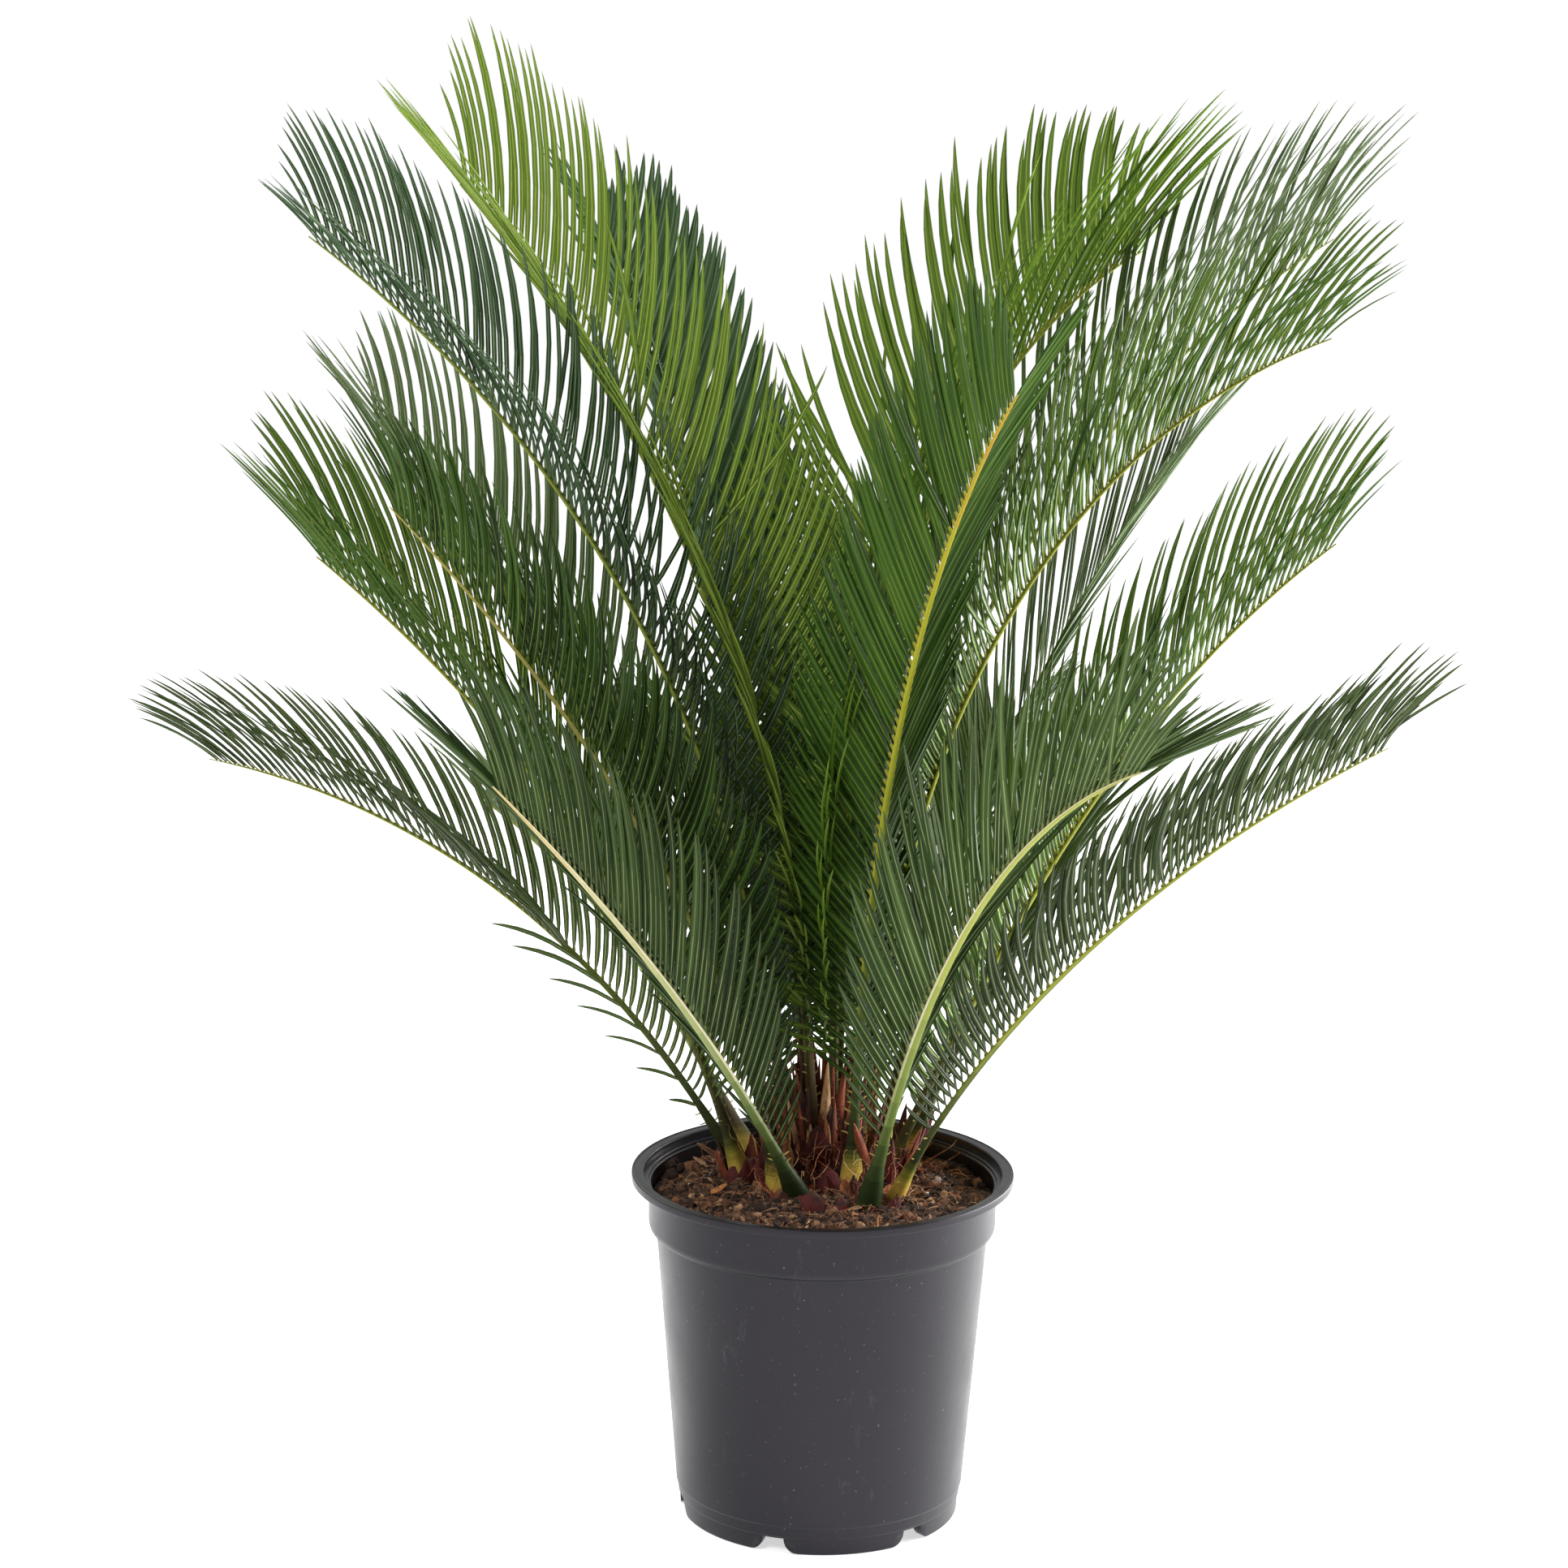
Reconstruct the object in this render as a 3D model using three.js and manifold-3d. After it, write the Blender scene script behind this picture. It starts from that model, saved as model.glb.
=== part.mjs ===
// Sago palm (Cycas revoluta) in a 24 cm nursery pot.
// Millimetres, +Z up. The origin is the middle of the pot's underside, and -Y is the front.
import * as THREE from 'three';
import { mergeVertices } from 'three/addons/utils/BufferGeometryUtils.js';
import Module from 'manifold-3d';

const wasm = await Module();
wasm.setup();

const GAP = 0.45; // clear space between pieces that meet
const SHORTEST_EDGE = 0.05; // slivers that a cut leaves are merged below this

// Pot
const POT_HEIGHT = 222;
const RIM_RADIUS = 120;
const RIM_INNER_RADIUS = 112.6;
const RIM_DEPTH = 5;
const COLLAR_RADIUS = 109.2;
const COLLAR_FOOT = 190; // height at which the collar starts to draw in
const COLLAR_ROUND = 3;
const WALL_TOP = 180;
const WALL_TOP_RADIUS = 104.3;
const BAND_TOP = 18.8; // the two rings above the feet
const BAND_RADIUS = 90.8;
const FOOT_TOP = 10.6;
const BASE_RADIUS = 87.9;
const RING_STEP = 0.7;
const WALL = 1.6;
const INNER_STEP = 1; // the ledge inside the rim
const SKIRT_RADIUS = 82;
const FLOOR_UNDERSIDE = 10;
const FLOOR_TOP = 12.5;
const PAD_RADIUS = 22; // the middle of the base reaches the ground, as on moulded pots
const PAD_DRAFT = 1;
const POT_SEGMENTS = 36;
const FOOT_NOTCHES = 6;
const FIRST_NOTCH = -19; // degrees from the front towards +X
const NOTCH_HALF_WIDTH = 6.8;
const NOTCH_CORNER = 9.5;
const CUT_OVERSHOOT = 1;
const CORNER_SEGMENTS = 3;
const DRAIN_RADIUS = 6;
const DRAIN_RING = 60;
const DRAIN_SIDES = 8;

// Soil
const SOIL_TOP = 205;
const SOIL_MOUND = 5; // the middle stands this much higher
const SOIL_RINGS = 3;
const SOIL_LUMP = 1.2;
const SOIL_WAVES = [13, 11, 7]; // lengths of the lumps across, along and on the slant
const SOIL_CHAMFER = 1;

// Caudex: low swollen stems that share one buried base. [x, y, radius, height of the top]
const CAUDEX_HEART = [0, 49, 27, 238];
const CAUDEX_OFFSETS = [
  [-45, 32, 17, 219],
  [-21, -12, 14, 217],
  [18, 5, 14, 217],
  [33, -25, 12, 215],
  [40, 27, 14, 217],
];
const BASE_CENTRE = [0, 20];
const BASE_LUMP_RADIUS = 62;
const BASE_LUMP_TOP = 198;
const BASE_LUMP_DEPTH = 36;
const LUMP_FACETS = [9, 6];

// Scale leaves: dry pointed scales that stand round the heart and before each offset
const SCALE_LEAF_LENGTHS = [98, 76, 90, 66];
const SCALE_LEAF_WIDTH = 13;
const SCALE_LEAF_THICKNESS = 2.6;
const SCALE_LEAF_LEAN = 84; // degrees above level
const SCALE_LEAF_FOOT = 196; // height of the foot, sunk in the soil and trimmed by it
const HEART_SCALES = 10;
const OFFSET_SCALE_LENGTH = 44;
const SCALE_CLEARANCE = 2.5; // from the stem's widest ring

// Fronds. azimuth is the heading from the front towards +X, and sweep how far it turns on the way.
// rise and end are the elevations of the midrib at its foot and tip, all in degrees. bend above 1
// keeps a frond straight for longer. roll and twist turn the blade about the midrib, and leaf
// scales its leaflets. keel is how far the two rows stand up out of a flat blade, and spread is
// added to the angle between leaflets and midrib, in degrees.
// name, foot x, foot y, azimuth, sweep, rise, end, bend, length, roll, twist, leaf, keel, spread
const FRONDS = [
  ['frond_left_1', -6, 47, -96, 0, 89.5, 49, 1.1, 678, 39, 0, 1.2, 45, 0],
  ['frond_left_2', -6, 62, -156, 0, 80, 30, 1.05, 690, -4, -4, 1, 45, 0],
  ['frond_left_3', -20, 38, -74, 6, 85, 37, 1.2, 700, 42, 2, 1, 45, 0],
  ['frond_left_4', -22, 56, -115, 0, 71, 42, 0.97, 548, 8, 2, 1.05, 45, 0],
  ['frond_left_5', -28, -8, -57, 7, 86, 44, 0.55, 552, 12, -5, 0.94, 45, -6],
  ['frond_left_6', -50, 22, -93, 6, 76, 40, 0.85, 488, 23, -1, 1.17, 45, -8],
  ['frond_left_7', -13, -18, -36, -16, 58, 45, 0.65, 403, -19, -18, 0.95, 45, -9],
  ['frond_left_8', -50, 42, -78, 1, 60, 14, 1.34, 452, 112, -99, 0.82, 40, -9],
  ['frond_left_9', -42, 60, -145, -5, 44, 5, 1, 408, -10, 0, 0.85, 45, 0],
  ['frond_right_1', 18, 5, 16, 8, 84, 43, 1.38, 598, -4, 17, 0.94, 45, 0],
  ['frond_right_2', 8, 32, 125, 7, 92, 17, 1.87, 679, -6, 14, 1.3, 45, 6],
  ['frond_right_3', 18, 58, 118, -10, 90, 29, 1.1, 703, -9, 16, 1.2, 45, 0],
  ['frond_right_4', 21, 43, 84, -6, 84, 22, 1.87, 647, -25, 10, 1.03, 45, 0],
  ['frond_right_5', 34, 64, 130, 2, 73, 38, 1.43, 519, -34, 0, 1, 68, 0],
  ['frond_right_6', 36, 24, 70, -2, 65, 39, 2.25, 520, -30, 4, 1, 45, -6],
  ['frond_right_7', 27, -32, 31, 3, 70, 22, 1.54, 442, 0, 43, 1.02, 45, -7],
  ['frond_right_8', 42, -18, 54, -2, 65, 31, 0.71, 488, -16, 10, 0.85, 45, -5],
  ['frond_right_9', 50, 48, 143, 12, 54, 20, 0.8, 370, 0, 0, 0.95, 45, 0],
  ['frond_back_1', 9, 71, 176, 0, 76, 12, 1, 480, 0, 0, 1, 45, 0],
  ['frond_back_2', -22, 76, -168, 0, 60, 2, 1, 400, 0, 0, 0.95, 45, 0],
  ['frond_back_3', 26, 84, 161, 0, 62, 4, 1, 400, 0, 0, 0.95, 45, 0],
].map(([name, footX, footY, azimuth, sweep, rise, end, bend, length, ...leaves]) => {
  const [roll, twist, leaf, keel, spread] = leaves;
  return { name, footX, footY, azimuth, sweep, rise, end, bend, length, roll, twist, leaf, keel, spread };
});
const FOOT_HEIGHT = SOIL_TOP;
const BURIED = 0.03; // share of the midrib's length that reaches below the soil
const MIDRIB_STEPS = 60;
const RIB_STEPS = 10;
const RIB_SIDES = 4;
const RIB_RADIUS = [[0, 5.4], [0.12, 4], [0.5, 2.9], [1, 1.3]]; // share of the length, radius
const LEAFLETS_A_SIDE = 11;
const FIRST_LEAFLET = 0.15;
const LAST_LEAFLET = 0.96;
const ROOT_SINK = 0.4; // share of the rib's radius that a root goes past its axis
const LEAFLET_LENGTH = 122;
const LEAFLET_FILL = 0.85; // share of the space between neighbours that a leaflet is wide
const LEAFLET_LEAST_WIDTH = 9;
const LEAFLET_THICKNESS = 2;
const LEAFLET_BELLY = 0.35; // where the leaflet is widest
const LEAFLET_SHARE = [
  [0.12, 0.25], [0.2, 0.5], [0.32, 0.85], [0.45, 1], [0.85, 1], [0.93, 0.92], [0.97, 0.75], [1, 0.4],
];
// degrees between the leaflet and the midrib
const LEAFLET_ANGLE = [[0.1, 68], [0.25, 54], [0.4, 46], [0.6, 39], [0.8, 35], [0.92, 32], [1, 27]];
const LEAFLET_CLEARANCE = 0.8;
const SHORTENINGS = [1, 0.8, 0.6, 0.4];

const plant = new THREE.Group();

const material = (color, roughness) => new THREE.MeshStandardMaterial({ color, roughness, metalness: 0 });
const potPlastic = () => material(0x3a393d, 0.45);
const earth = () => material(0x3b2a20, 0.95);
const bark = () => material(0x5a3526, 0.9);
const dryScale = () => material(0x7a4630, 0.85);
const leafGreen = () => material(0x3f6b35, 0.5);

function toManifold(geometry) {
  const bare = geometry.index ? geometry.clone() : geometry;
  bare.deleteAttribute('normal');
  bare.deleteAttribute('uv');
  const merged = mergeVertices(bare, 1e-4);
  return new wasm.Manifold(new wasm.Mesh({
    numProp: 3,
    vertProperties: new Float32Array(merged.attributes.position.array),
    triVerts: new Uint32Array(merged.index.array),
  }));
}

function toGeometry(solid) {
  const mesh = solid.getMesh();
  const geometry = new THREE.BufferGeometry();
  geometry.setAttribute('position', new THREE.BufferAttribute(mesh.vertProperties, 3));
  geometry.setIndex(new THREE.BufferAttribute(mesh.triVerts, 1));
  geometry.computeVertexNormals();
  return geometry;
}

// A cut can leave a loose scrap, so the largest body is the one kept.
function largestBody(solid) {
  return solid.decompose().sort((a, b) => b.volume() - a.volume())[0];
}

function addNode(name, solid, nodeMaterial) {
  const mesh = new THREE.Mesh(toGeometry(solid.simplify(SHORTEST_EDGE)), nodeMaterial);
  mesh.name = name;
  plant.add(mesh);
}

function onCurve(table, share) {
  const last = table[table.length - 1];
  const next = table.findIndex(([at]) => at >= share);
  if (next === 0) return table[0][1];
  if (next < 0) return last[1];
  const [x0, y0] = table[next - 1];
  const [x1, y1] = table[next];
  return y0 + (y1 - y0) * (share - x0) / (x1 - x0);
}

function lathe(profile, segments) {
  const points = profile.map(([r, z]) => new THREE.Vector2(r, z));
  return new THREE.LatheGeometry(points, segments).rotateX(Math.PI / 2);
}

function innerRadius(height) {
  const slope = (WALL_TOP_RADIUS - BAND_RADIUS) / (WALL_TOP - BAND_TOP);
  return BAND_RADIUS + slope * (height - BAND_TOP) - WALL;
}

// ---- Pot: one thin wall turned on the axis, on a skirt that six notches part into feet ----
function potSolid() {
  const collarInner = COLLAR_RADIUS - WALL;
  let solid = toManifold(lathe([
    [0, 0],
    [PAD_RADIUS, 0],
    [PAD_RADIUS + PAD_DRAFT, FLOOR_UNDERSIDE],
    [SKIRT_RADIUS, FLOOR_UNDERSIDE],
    [SKIRT_RADIUS, 0],
    [BASE_RADIUS, 0],
    [BASE_RADIUS + RING_STEP, FOOT_TOP],
    [BASE_RADIUS + 2 * RING_STEP, FOOT_TOP + RING_STEP],
    [BAND_RADIUS - RING_STEP, BAND_TOP - RING_STEP],
    [BAND_RADIUS, BAND_TOP],
    [WALL_TOP_RADIUS, WALL_TOP],
    [COLLAR_RADIUS - RING_STEP, COLLAR_FOOT - COLLAR_ROUND],
    [COLLAR_RADIUS, COLLAR_FOOT],
    [COLLAR_RADIUS, POT_HEIGHT - RIM_DEPTH],
    [RIM_RADIUS, POT_HEIGHT - RIM_DEPTH],
    [RIM_RADIUS, POT_HEIGHT],
    [RIM_INNER_RADIUS, POT_HEIGHT],
    [RIM_INNER_RADIUS, POT_HEIGHT - RIM_DEPTH - INNER_STEP],
    [collarInner, POT_HEIGHT - RIM_DEPTH - 2 * INNER_STEP],
    [collarInner, COLLAR_FOOT],
    [innerRadius(WALL_TOP), WALL_TOP],
    [innerRadius(FLOOR_TOP), FLOOR_TOP],
    [0, FLOOR_TOP],
  ], POT_SEGMENTS));
  for (let i = 0; i < FOOT_NOTCHES; i += 1) {
    const azimuth = FIRST_NOTCH + i * 360 / FOOT_NOTCHES;
    solid = solid.subtract(footNotch(azimuth)).subtract(drainHole(azimuth));
  }
  return solid;
}

// The notch is open at the floor and flares to the ground by two round corners.
function footNotch(azimuth) {
  const flare = NOTCH_HALF_WIDTH + NOTCH_CORNER;
  const outline = new THREE.Shape();
  outline.moveTo(-flare, -CUT_OVERSHOOT);
  outline.absarc(-flare, NOTCH_CORNER, NOTCH_CORNER, -Math.PI / 2, 0, false);
  outline.lineTo(-NOTCH_HALF_WIDTH, FLOOR_UNDERSIDE);
  outline.lineTo(NOTCH_HALF_WIDTH, FLOOR_UNDERSIDE);
  outline.absarc(flare, NOTCH_CORNER, NOTCH_CORNER, Math.PI, 1.5 * Math.PI, false);
  outline.lineTo(flare, -CUT_OVERSHOOT);
  const reach = RIM_RADIUS - SKIRT_RADIUS;
  const sweep = { depth: reach, bevelEnabled: false, curveSegments: CORNER_SEGMENTS };
  const block = new THREE.ExtrudeGeometry(outline, sweep);
  block.rotateX(Math.PI / 2);
  block.translate(0, CUT_OVERSHOOT - SKIRT_RADIUS, 0);
  block.rotateZ(THREE.MathUtils.degToRad(azimuth));
  return toManifold(block);
}

function drainHole(azimuth) {
  const depth = FLOOR_TOP - FLOOR_UNDERSIDE;
  const hole = new THREE.CylinderGeometry(DRAIN_RADIUS, DRAIN_RADIUS, 3 * depth, DRAIN_SIDES);
  hole.rotateX(Math.PI / 2);
  hole.translate(0, -DRAIN_RING, FLOOR_UNDERSIDE + depth / 2);
  hole.rotateZ(THREE.MathUtils.degToRad(azimuth));
  return toManifold(hole);
}

// ---- Soil: fills the pot to just under the rim, with an uneven top ----
function soilLump(x, y) {
  const [across, along, slant] = SOIL_WAVES;
  return SOIL_LUMP * (Math.sin(x / across) * Math.cos(y / along) + Math.sin((x + 2 * y) / slant) / 2);
}

function soilSolid(lift) {
  const edge = COLLAR_RADIUS - WALL - GAP;
  const profile = [
    [0, FLOOR_TOP + GAP],
    [innerRadius(FLOOR_TOP) - GAP - SOIL_CHAMFER, FLOOR_TOP + GAP],
    [innerRadius(FLOOR_TOP + SOIL_CHAMFER) - GAP, FLOOR_TOP + SOIL_CHAMFER],
    [innerRadius(WALL_TOP) - GAP, WALL_TOP],
    [edge, COLLAR_FOOT + SOIL_CHAMFER],
  ];
  for (let ring = SOIL_RINGS; ring >= 0; ring -= 1) {
    const share = ring / SOIL_RINGS;
    profile.push([edge * share, SOIL_TOP + lift + SOIL_MOUND * (1 - share ** 2)]);
  }
  const heap = lathe(profile, POT_SEGMENTS);
  const position = heap.attributes.position;
  for (let i = 0; i < position.count; i += 1) {
    const z = position.getZ(i);
    if (z >= SOIL_TOP) position.setZ(i, z + soilLump(position.getX(i), position.getY(i)));
  }
  return toManifold(heap);
}

// ---- Caudex: swollen heart and offsets on one buried base ----
function lump(x, y, radius, top, depth, margin) {
  const ball = new THREE.SphereGeometry(1, ...LUMP_FACETS);
  ball.rotateX(Math.PI / 2);
  ball.scale(radius + margin, radius + margin, depth / 2 + margin);
  ball.translate(x, y, top - depth / 2);
  return toManifold(ball);
}

function caudexSolid(margin) {
  const stems = [CAUDEX_HEART, ...CAUDEX_OFFSETS];
  const base = lump(...BASE_CENTRE, BASE_LUMP_RADIUS, BASE_LUMP_TOP, BASE_LUMP_DEPTH, margin);
  return stems.reduce((solid, [x, y, radius, top]) => (
    solid.add(lump(x, y, radius, top, 2 * (top - BASE_LUMP_TOP + BASE_LUMP_DEPTH / 2), margin))
  ), base);
}

// ---- Fronds ----
// Midrib points and the frame at a share of the length: tangent, blade normal, blade side.
function frondFrame(frond, share) {
  const t = Math.max(share, 0);
  const elevation = THREE.MathUtils.degToRad(frond.rise + (frond.end - frond.rise) * t ** frond.bend);
  const azimuth = THREE.MathUtils.degToRad(frond.azimuth + frond.sweep * t);
  const roll = THREE.MathUtils.degToRad(frond.roll + frond.twist * t);
  const heading = new THREE.Vector3(Math.sin(azimuth), -Math.cos(azimuth), 0);
  const tangent = heading.clone().multiplyScalar(Math.cos(elevation)).setZ(Math.sin(elevation));
  const flatNormal = heading.clone().multiplyScalar(-Math.sin(elevation)).setZ(Math.cos(elevation));
  const normal = flatNormal.clone().applyAxisAngle(tangent, -roll);
  const side = new THREE.Vector3().crossVectors(tangent, normal);
  return { tangent, normal, side };
}

// The midrib is the sum of short straight steps along its tangent.
class Midrib extends THREE.Curve {
  constructor(frond) {
    super();
    this.frond = frond;
    this.points = [new THREE.Vector3(frond.footX, frond.footY, FOOT_HEIGHT)];
    for (let i = 0; i < MIDRIB_STEPS; i += 1) {
      const { tangent } = frondFrame(frond, (i + 0.5) / MIDRIB_STEPS);
      const step = tangent.multiplyScalar(frond.length / MIDRIB_STEPS);
      this.points.push(this.points[i].clone().add(step));
    }
  }

  getPoint(share) {
    if (share <= 0) {
      const back = frondFrame(this.frond, 0).tangent.multiplyScalar(share * this.frond.length);
      return this.points[0].clone().add(back);
    }
    const at = share * MIDRIB_STEPS;
    const index = Math.min(Math.floor(at), MIDRIB_STEPS - 1);
    return this.points[index].clone().lerp(this.points[index + 1], at - index);
  }
}

function ribSolid(frond, midrib, margin) {
  const rib = new THREE.CylinderGeometry(1, 1, 1, RIB_SIDES, RIB_STEPS);
  const position = rib.attributes.position;
  for (let i = 0; i < position.count; i += 1) {
    const share = -BURIED + (1 + BURIED) * (position.getY(i) + 0.5);
    const { normal, side } = frondFrame(frond, share);
    const radius = onCurve(RIB_RADIUS, share) + margin;
    const point = midrib.getPoint(share);
    point.addScaledVector(side, radius * position.getX(i));
    point.addScaledVector(normal, radius * position.getZ(i));
    position.setXYZ(i, ...point);
  }
  return toManifold(rib);
}

function leafletBlade(frond, midrib, share, row) {
  const { tangent, normal, side } = frondFrame(frond, share);
  const angle = THREE.MathUtils.degToRad(onCurve(LEAFLET_ANGLE, share) + frond.spread);
  const keel = THREE.MathUtils.degToRad(frond.keel);
  const outward = side.clone().multiplyScalar(row * Math.cos(keel));
  outward.addScaledVector(normal, Math.sin(keel));
  const direction = tangent.clone().multiplyScalar(Math.cos(angle));
  direction.addScaledVector(outward, Math.sin(angle));
  const face = new THREE.Vector3().crossVectors(direction, tangent).normalize();
  const across = new THREE.Vector3().crossVectors(face, direction).normalize();
  const length = LEAFLET_LENGTH * frond.leaf * onCurve(LEAFLET_SHARE, share);
  const root = midrib.getPoint(share);
  root.addScaledVector(direction, -ROOT_SINK * onCurve(RIB_RADIUS, share));
  const spacing = frond.length * (LAST_LEAFLET - FIRST_LEAFLET) / (LEAFLETS_A_SIDE - 1);
  const width = Math.max(LEAFLET_FILL * spacing * Math.sin(angle), LEAFLET_LEAST_WIDTH);
  return { root, direction, across, length, width, thickness: LEAFLET_THICKNESS };
}

// Leaflets and scale leaves are lozenges of eight faces, widest near the root.
function lozengeSolid({ root, direction, across, length, width, thickness }, margin) {
  const blade = new THREE.OctahedronGeometry(1);
  const position = blade.attributes.position;
  for (let i = 0; i < position.count; i += 1) {
    const along = position.getY(i) > 0 ? 1 - LEAFLET_BELLY : LEAFLET_BELLY;
    position.setY(i, (length + 2 * margin) * (LEAFLET_BELLY + along * position.getY(i)) - margin);
    position.setX(i, position.getX(i) * (width / 2 + margin));
    position.setZ(i, position.getZ(i) * (thickness / 2 + margin));
  }
  const facing = new THREE.Vector3().crossVectors(across, direction);
  const basis = new THREE.Matrix4().makeBasis(across, direction, facing);
  blade.applyMatrix4(basis.setPosition(root));
  return toManifold(blade);
}

// ---- Clearance between blades and the fronds around them ----
const grown = FRONDS.map((frond) => {
  const midrib = new Midrib(frond);
  return { frond, midrib, space: ribSolid(frond, midrib, LEAFLET_CLEARANCE), leaflets: [] };
});

function clash(one, other) {
  const shared = one.intersect(other);
  const meets = !shared.isEmpty();
  shared.delete();
  return meets;
}

function ballAround({ root, direction, length }) {
  const middle = root.clone().addScaledVector(direction, length / 2);
  return new THREE.Sphere(middle, length / 2 + LEAFLET_CLEARANCE);
}

function bladeIsClear(blade, owner) {
  const ball = ballAround(blade);
  const space = lozengeSolid(blade, LEAFLET_CLEARANCE);
  const others = grown.filter((other) => other !== owner);
  const leaflets = others.flatMap((other) => other.leaflets);
  const near = leaflets.filter((leaflet) => leaflet.ball.intersectsSphere(ball));
  const meetsRib = others.some((other) => clash(space, other.space));
  const meetsLeaflet = near.some((leaflet) => clash(space, leaflet.solid));
  space.delete();
  return !meetsRib && !meetsLeaflet;
}

// A leaflet that would meet another frond is shortened, and left out if that isn't enough.
function growLeaflet(owner, share, row) {
  const full = leafletBlade(owner.frond, owner.midrib, share, row);
  const choices = SHORTENINGS.map((factor) => ({ ...full, length: full.length * factor }));
  const leaflet = choices.find((choice) => bladeIsClear(choice, owner));
  if (leaflet) owner.leaflets.push({ solid: lozengeSolid(leaflet, 0), ball: ballAround(leaflet) });
}

// ---- Scale leaves ----
function scaleBlade(azimuth, centreX, centreY, ring, length) {
  const turn = THREE.MathUtils.degToRad(azimuth);
  const lean = THREE.MathUtils.degToRad(SCALE_LEAF_LEAN);
  const heading = new THREE.Vector3(Math.sin(turn), -Math.cos(turn), 0);
  const root = new THREE.Vector3(centreX, centreY, SCALE_LEAF_FOOT).addScaledVector(heading, ring);
  const direction = heading.clone().multiplyScalar(Math.cos(lean)).setZ(Math.sin(lean));
  const across = new THREE.Vector3().crossVectors(heading, direction).normalize();
  return { root, direction, across, length, width: SCALE_LEAF_WIDTH, thickness: SCALE_LEAF_THICKNESS };
}

function scaleBlades() {
  const [heartX, heartY, heartRadius] = CAUDEX_HEART;
  const blades = [];
  for (let i = 0; i < HEART_SCALES; i += 1) {
    const length = SCALE_LEAF_LENGTHS[i % SCALE_LEAF_LENGTHS.length];
    blades.push(scaleBlade(i * 360 / HEART_SCALES, heartX, heartY, heartRadius + SCALE_CLEARANCE, length));
  }
  CAUDEX_OFFSETS.forEach(([x, y, radius]) => {
    blades.push(scaleBlade(0, x, y, radius + SCALE_CLEARANCE, OFFSET_SCALE_LENGTH));
  });
  return blades;
}

// ---- Assembly ----
const stemSpace = caudexSolid(GAP);
const ground = stemSpace.add(soilSolid(GAP));

// Leaflets are placed from the tips inwards, so that the crown keeps its outline.
for (let i = LEAFLETS_A_SIDE - 1; i >= 0; i -= 1) {
  const share = FIRST_LEAFLET + (LAST_LEAFLET - FIRST_LEAFLET) * i / (LEAFLETS_A_SIDE - 1);
  grown.forEach((owner) => [-1, 1].forEach((row) => growLeaflet(owner, share, row)));
}

grown.forEach(({ frond, midrib, leaflets }) => {
  const whole = leaflets.reduce((blade, { solid }) => blade.add(solid), ribSolid(frond, midrib, 0));
  addNode(frond.name, largestBody(whole.subtract(ground)), leafGreen());
});

scaleBlades().filter((blade) => bladeIsClear(blade, null)).forEach((blade, index) => {
  const number = String(index + 1).padStart(2, '0');
  addNode(`scale_leaf_${number}`, largestBody(lozengeSolid(blade, 0).subtract(ground)), dryScale());
});

addNode('pot', potSolid(), potPlastic());
addNode('potting_soil', soilSolid(0).subtract(stemSpace), earth());
addNode('caudex', caudexSolid(0), bark());

export default plant;
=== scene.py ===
import itertools
import math

import bmesh
import bpy
import numpy as np
from mathutils import Matrix, Vector, kdtree, noise


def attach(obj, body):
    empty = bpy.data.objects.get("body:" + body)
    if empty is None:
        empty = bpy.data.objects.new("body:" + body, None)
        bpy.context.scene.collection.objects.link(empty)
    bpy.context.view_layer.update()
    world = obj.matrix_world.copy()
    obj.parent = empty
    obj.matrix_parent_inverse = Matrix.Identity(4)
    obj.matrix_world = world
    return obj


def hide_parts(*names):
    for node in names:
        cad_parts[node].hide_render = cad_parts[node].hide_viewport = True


# A sago palm in a nursery pot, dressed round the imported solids. Metres, +Z up, and -Y is the front.
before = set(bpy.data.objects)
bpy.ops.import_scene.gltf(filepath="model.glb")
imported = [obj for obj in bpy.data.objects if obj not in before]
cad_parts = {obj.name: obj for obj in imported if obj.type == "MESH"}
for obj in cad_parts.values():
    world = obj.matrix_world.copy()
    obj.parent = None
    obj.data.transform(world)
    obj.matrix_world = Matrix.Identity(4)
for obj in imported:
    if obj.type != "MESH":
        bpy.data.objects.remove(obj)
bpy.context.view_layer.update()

MM = 0.001
UP = np.array([0.0, 0.0, 1.0])

# ---- camera
LENS = 102.26
SENSOR = 36.0
CAMERA_DISTANCE = 2.742
CAMERA_ELEVATION = 12.98
CAMERA_ROLL = 0.6
CAMERA_TARGET = (-0.0268, 0.0, 0.4705)

# ---- pot
POT_HEIGHT = 222 * MM
RIM_RADIUS = 120 * MM
RIM_INNER_RADIUS = 112.6 * MM
RIM_DEPTH = 5 * MM
RIM_LIP = 0.5 * MM  # the outer edge of the rim stands up by this much
COLLAR_RADIUS = 109.2 * MM
COLLAR_FOOT = 190 * MM
COLLAR_ROUND = 3 * MM
WALL_TOP = 184.5 * MM
WALL_TOP_RADIUS = 104.3 * MM
BAND_TOP = 18.8 * MM
BAND_RADIUS = 90.8 * MM
FOOT_TOP = 10.6 * MM
BASE_RADIUS = 87.9 * MM
RING_STEP = 0.7 * MM
WALL = 1.6 * MM
INNER_STEP = 1 * MM
SKIRT_RADIUS = 82 * MM
FLOOR_UNDERSIDE = 10 * MM
FLOOR_TOP = 12.5 * MM
PAD_RADIUS = 22 * MM
PAD_DRAFT = 1 * MM
POT_SEGMENTS = 160
EDGE_ROUND = 0.9 * MM  # radius of the moulded edges
CORNER_STEPS = 3
FOOT_NOTCHES = 6
FIRST_NOTCH = -19  # degrees from the front towards +X
NOTCH_HALF_WIDTH = 6.8 * MM
NOTCH_CORNER = 9.5 * MM
NOTCH_ARC_STEPS = 8
DRAIN_RADIUS = 6 * MM
DRAIN_RING = 60 * MM
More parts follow.
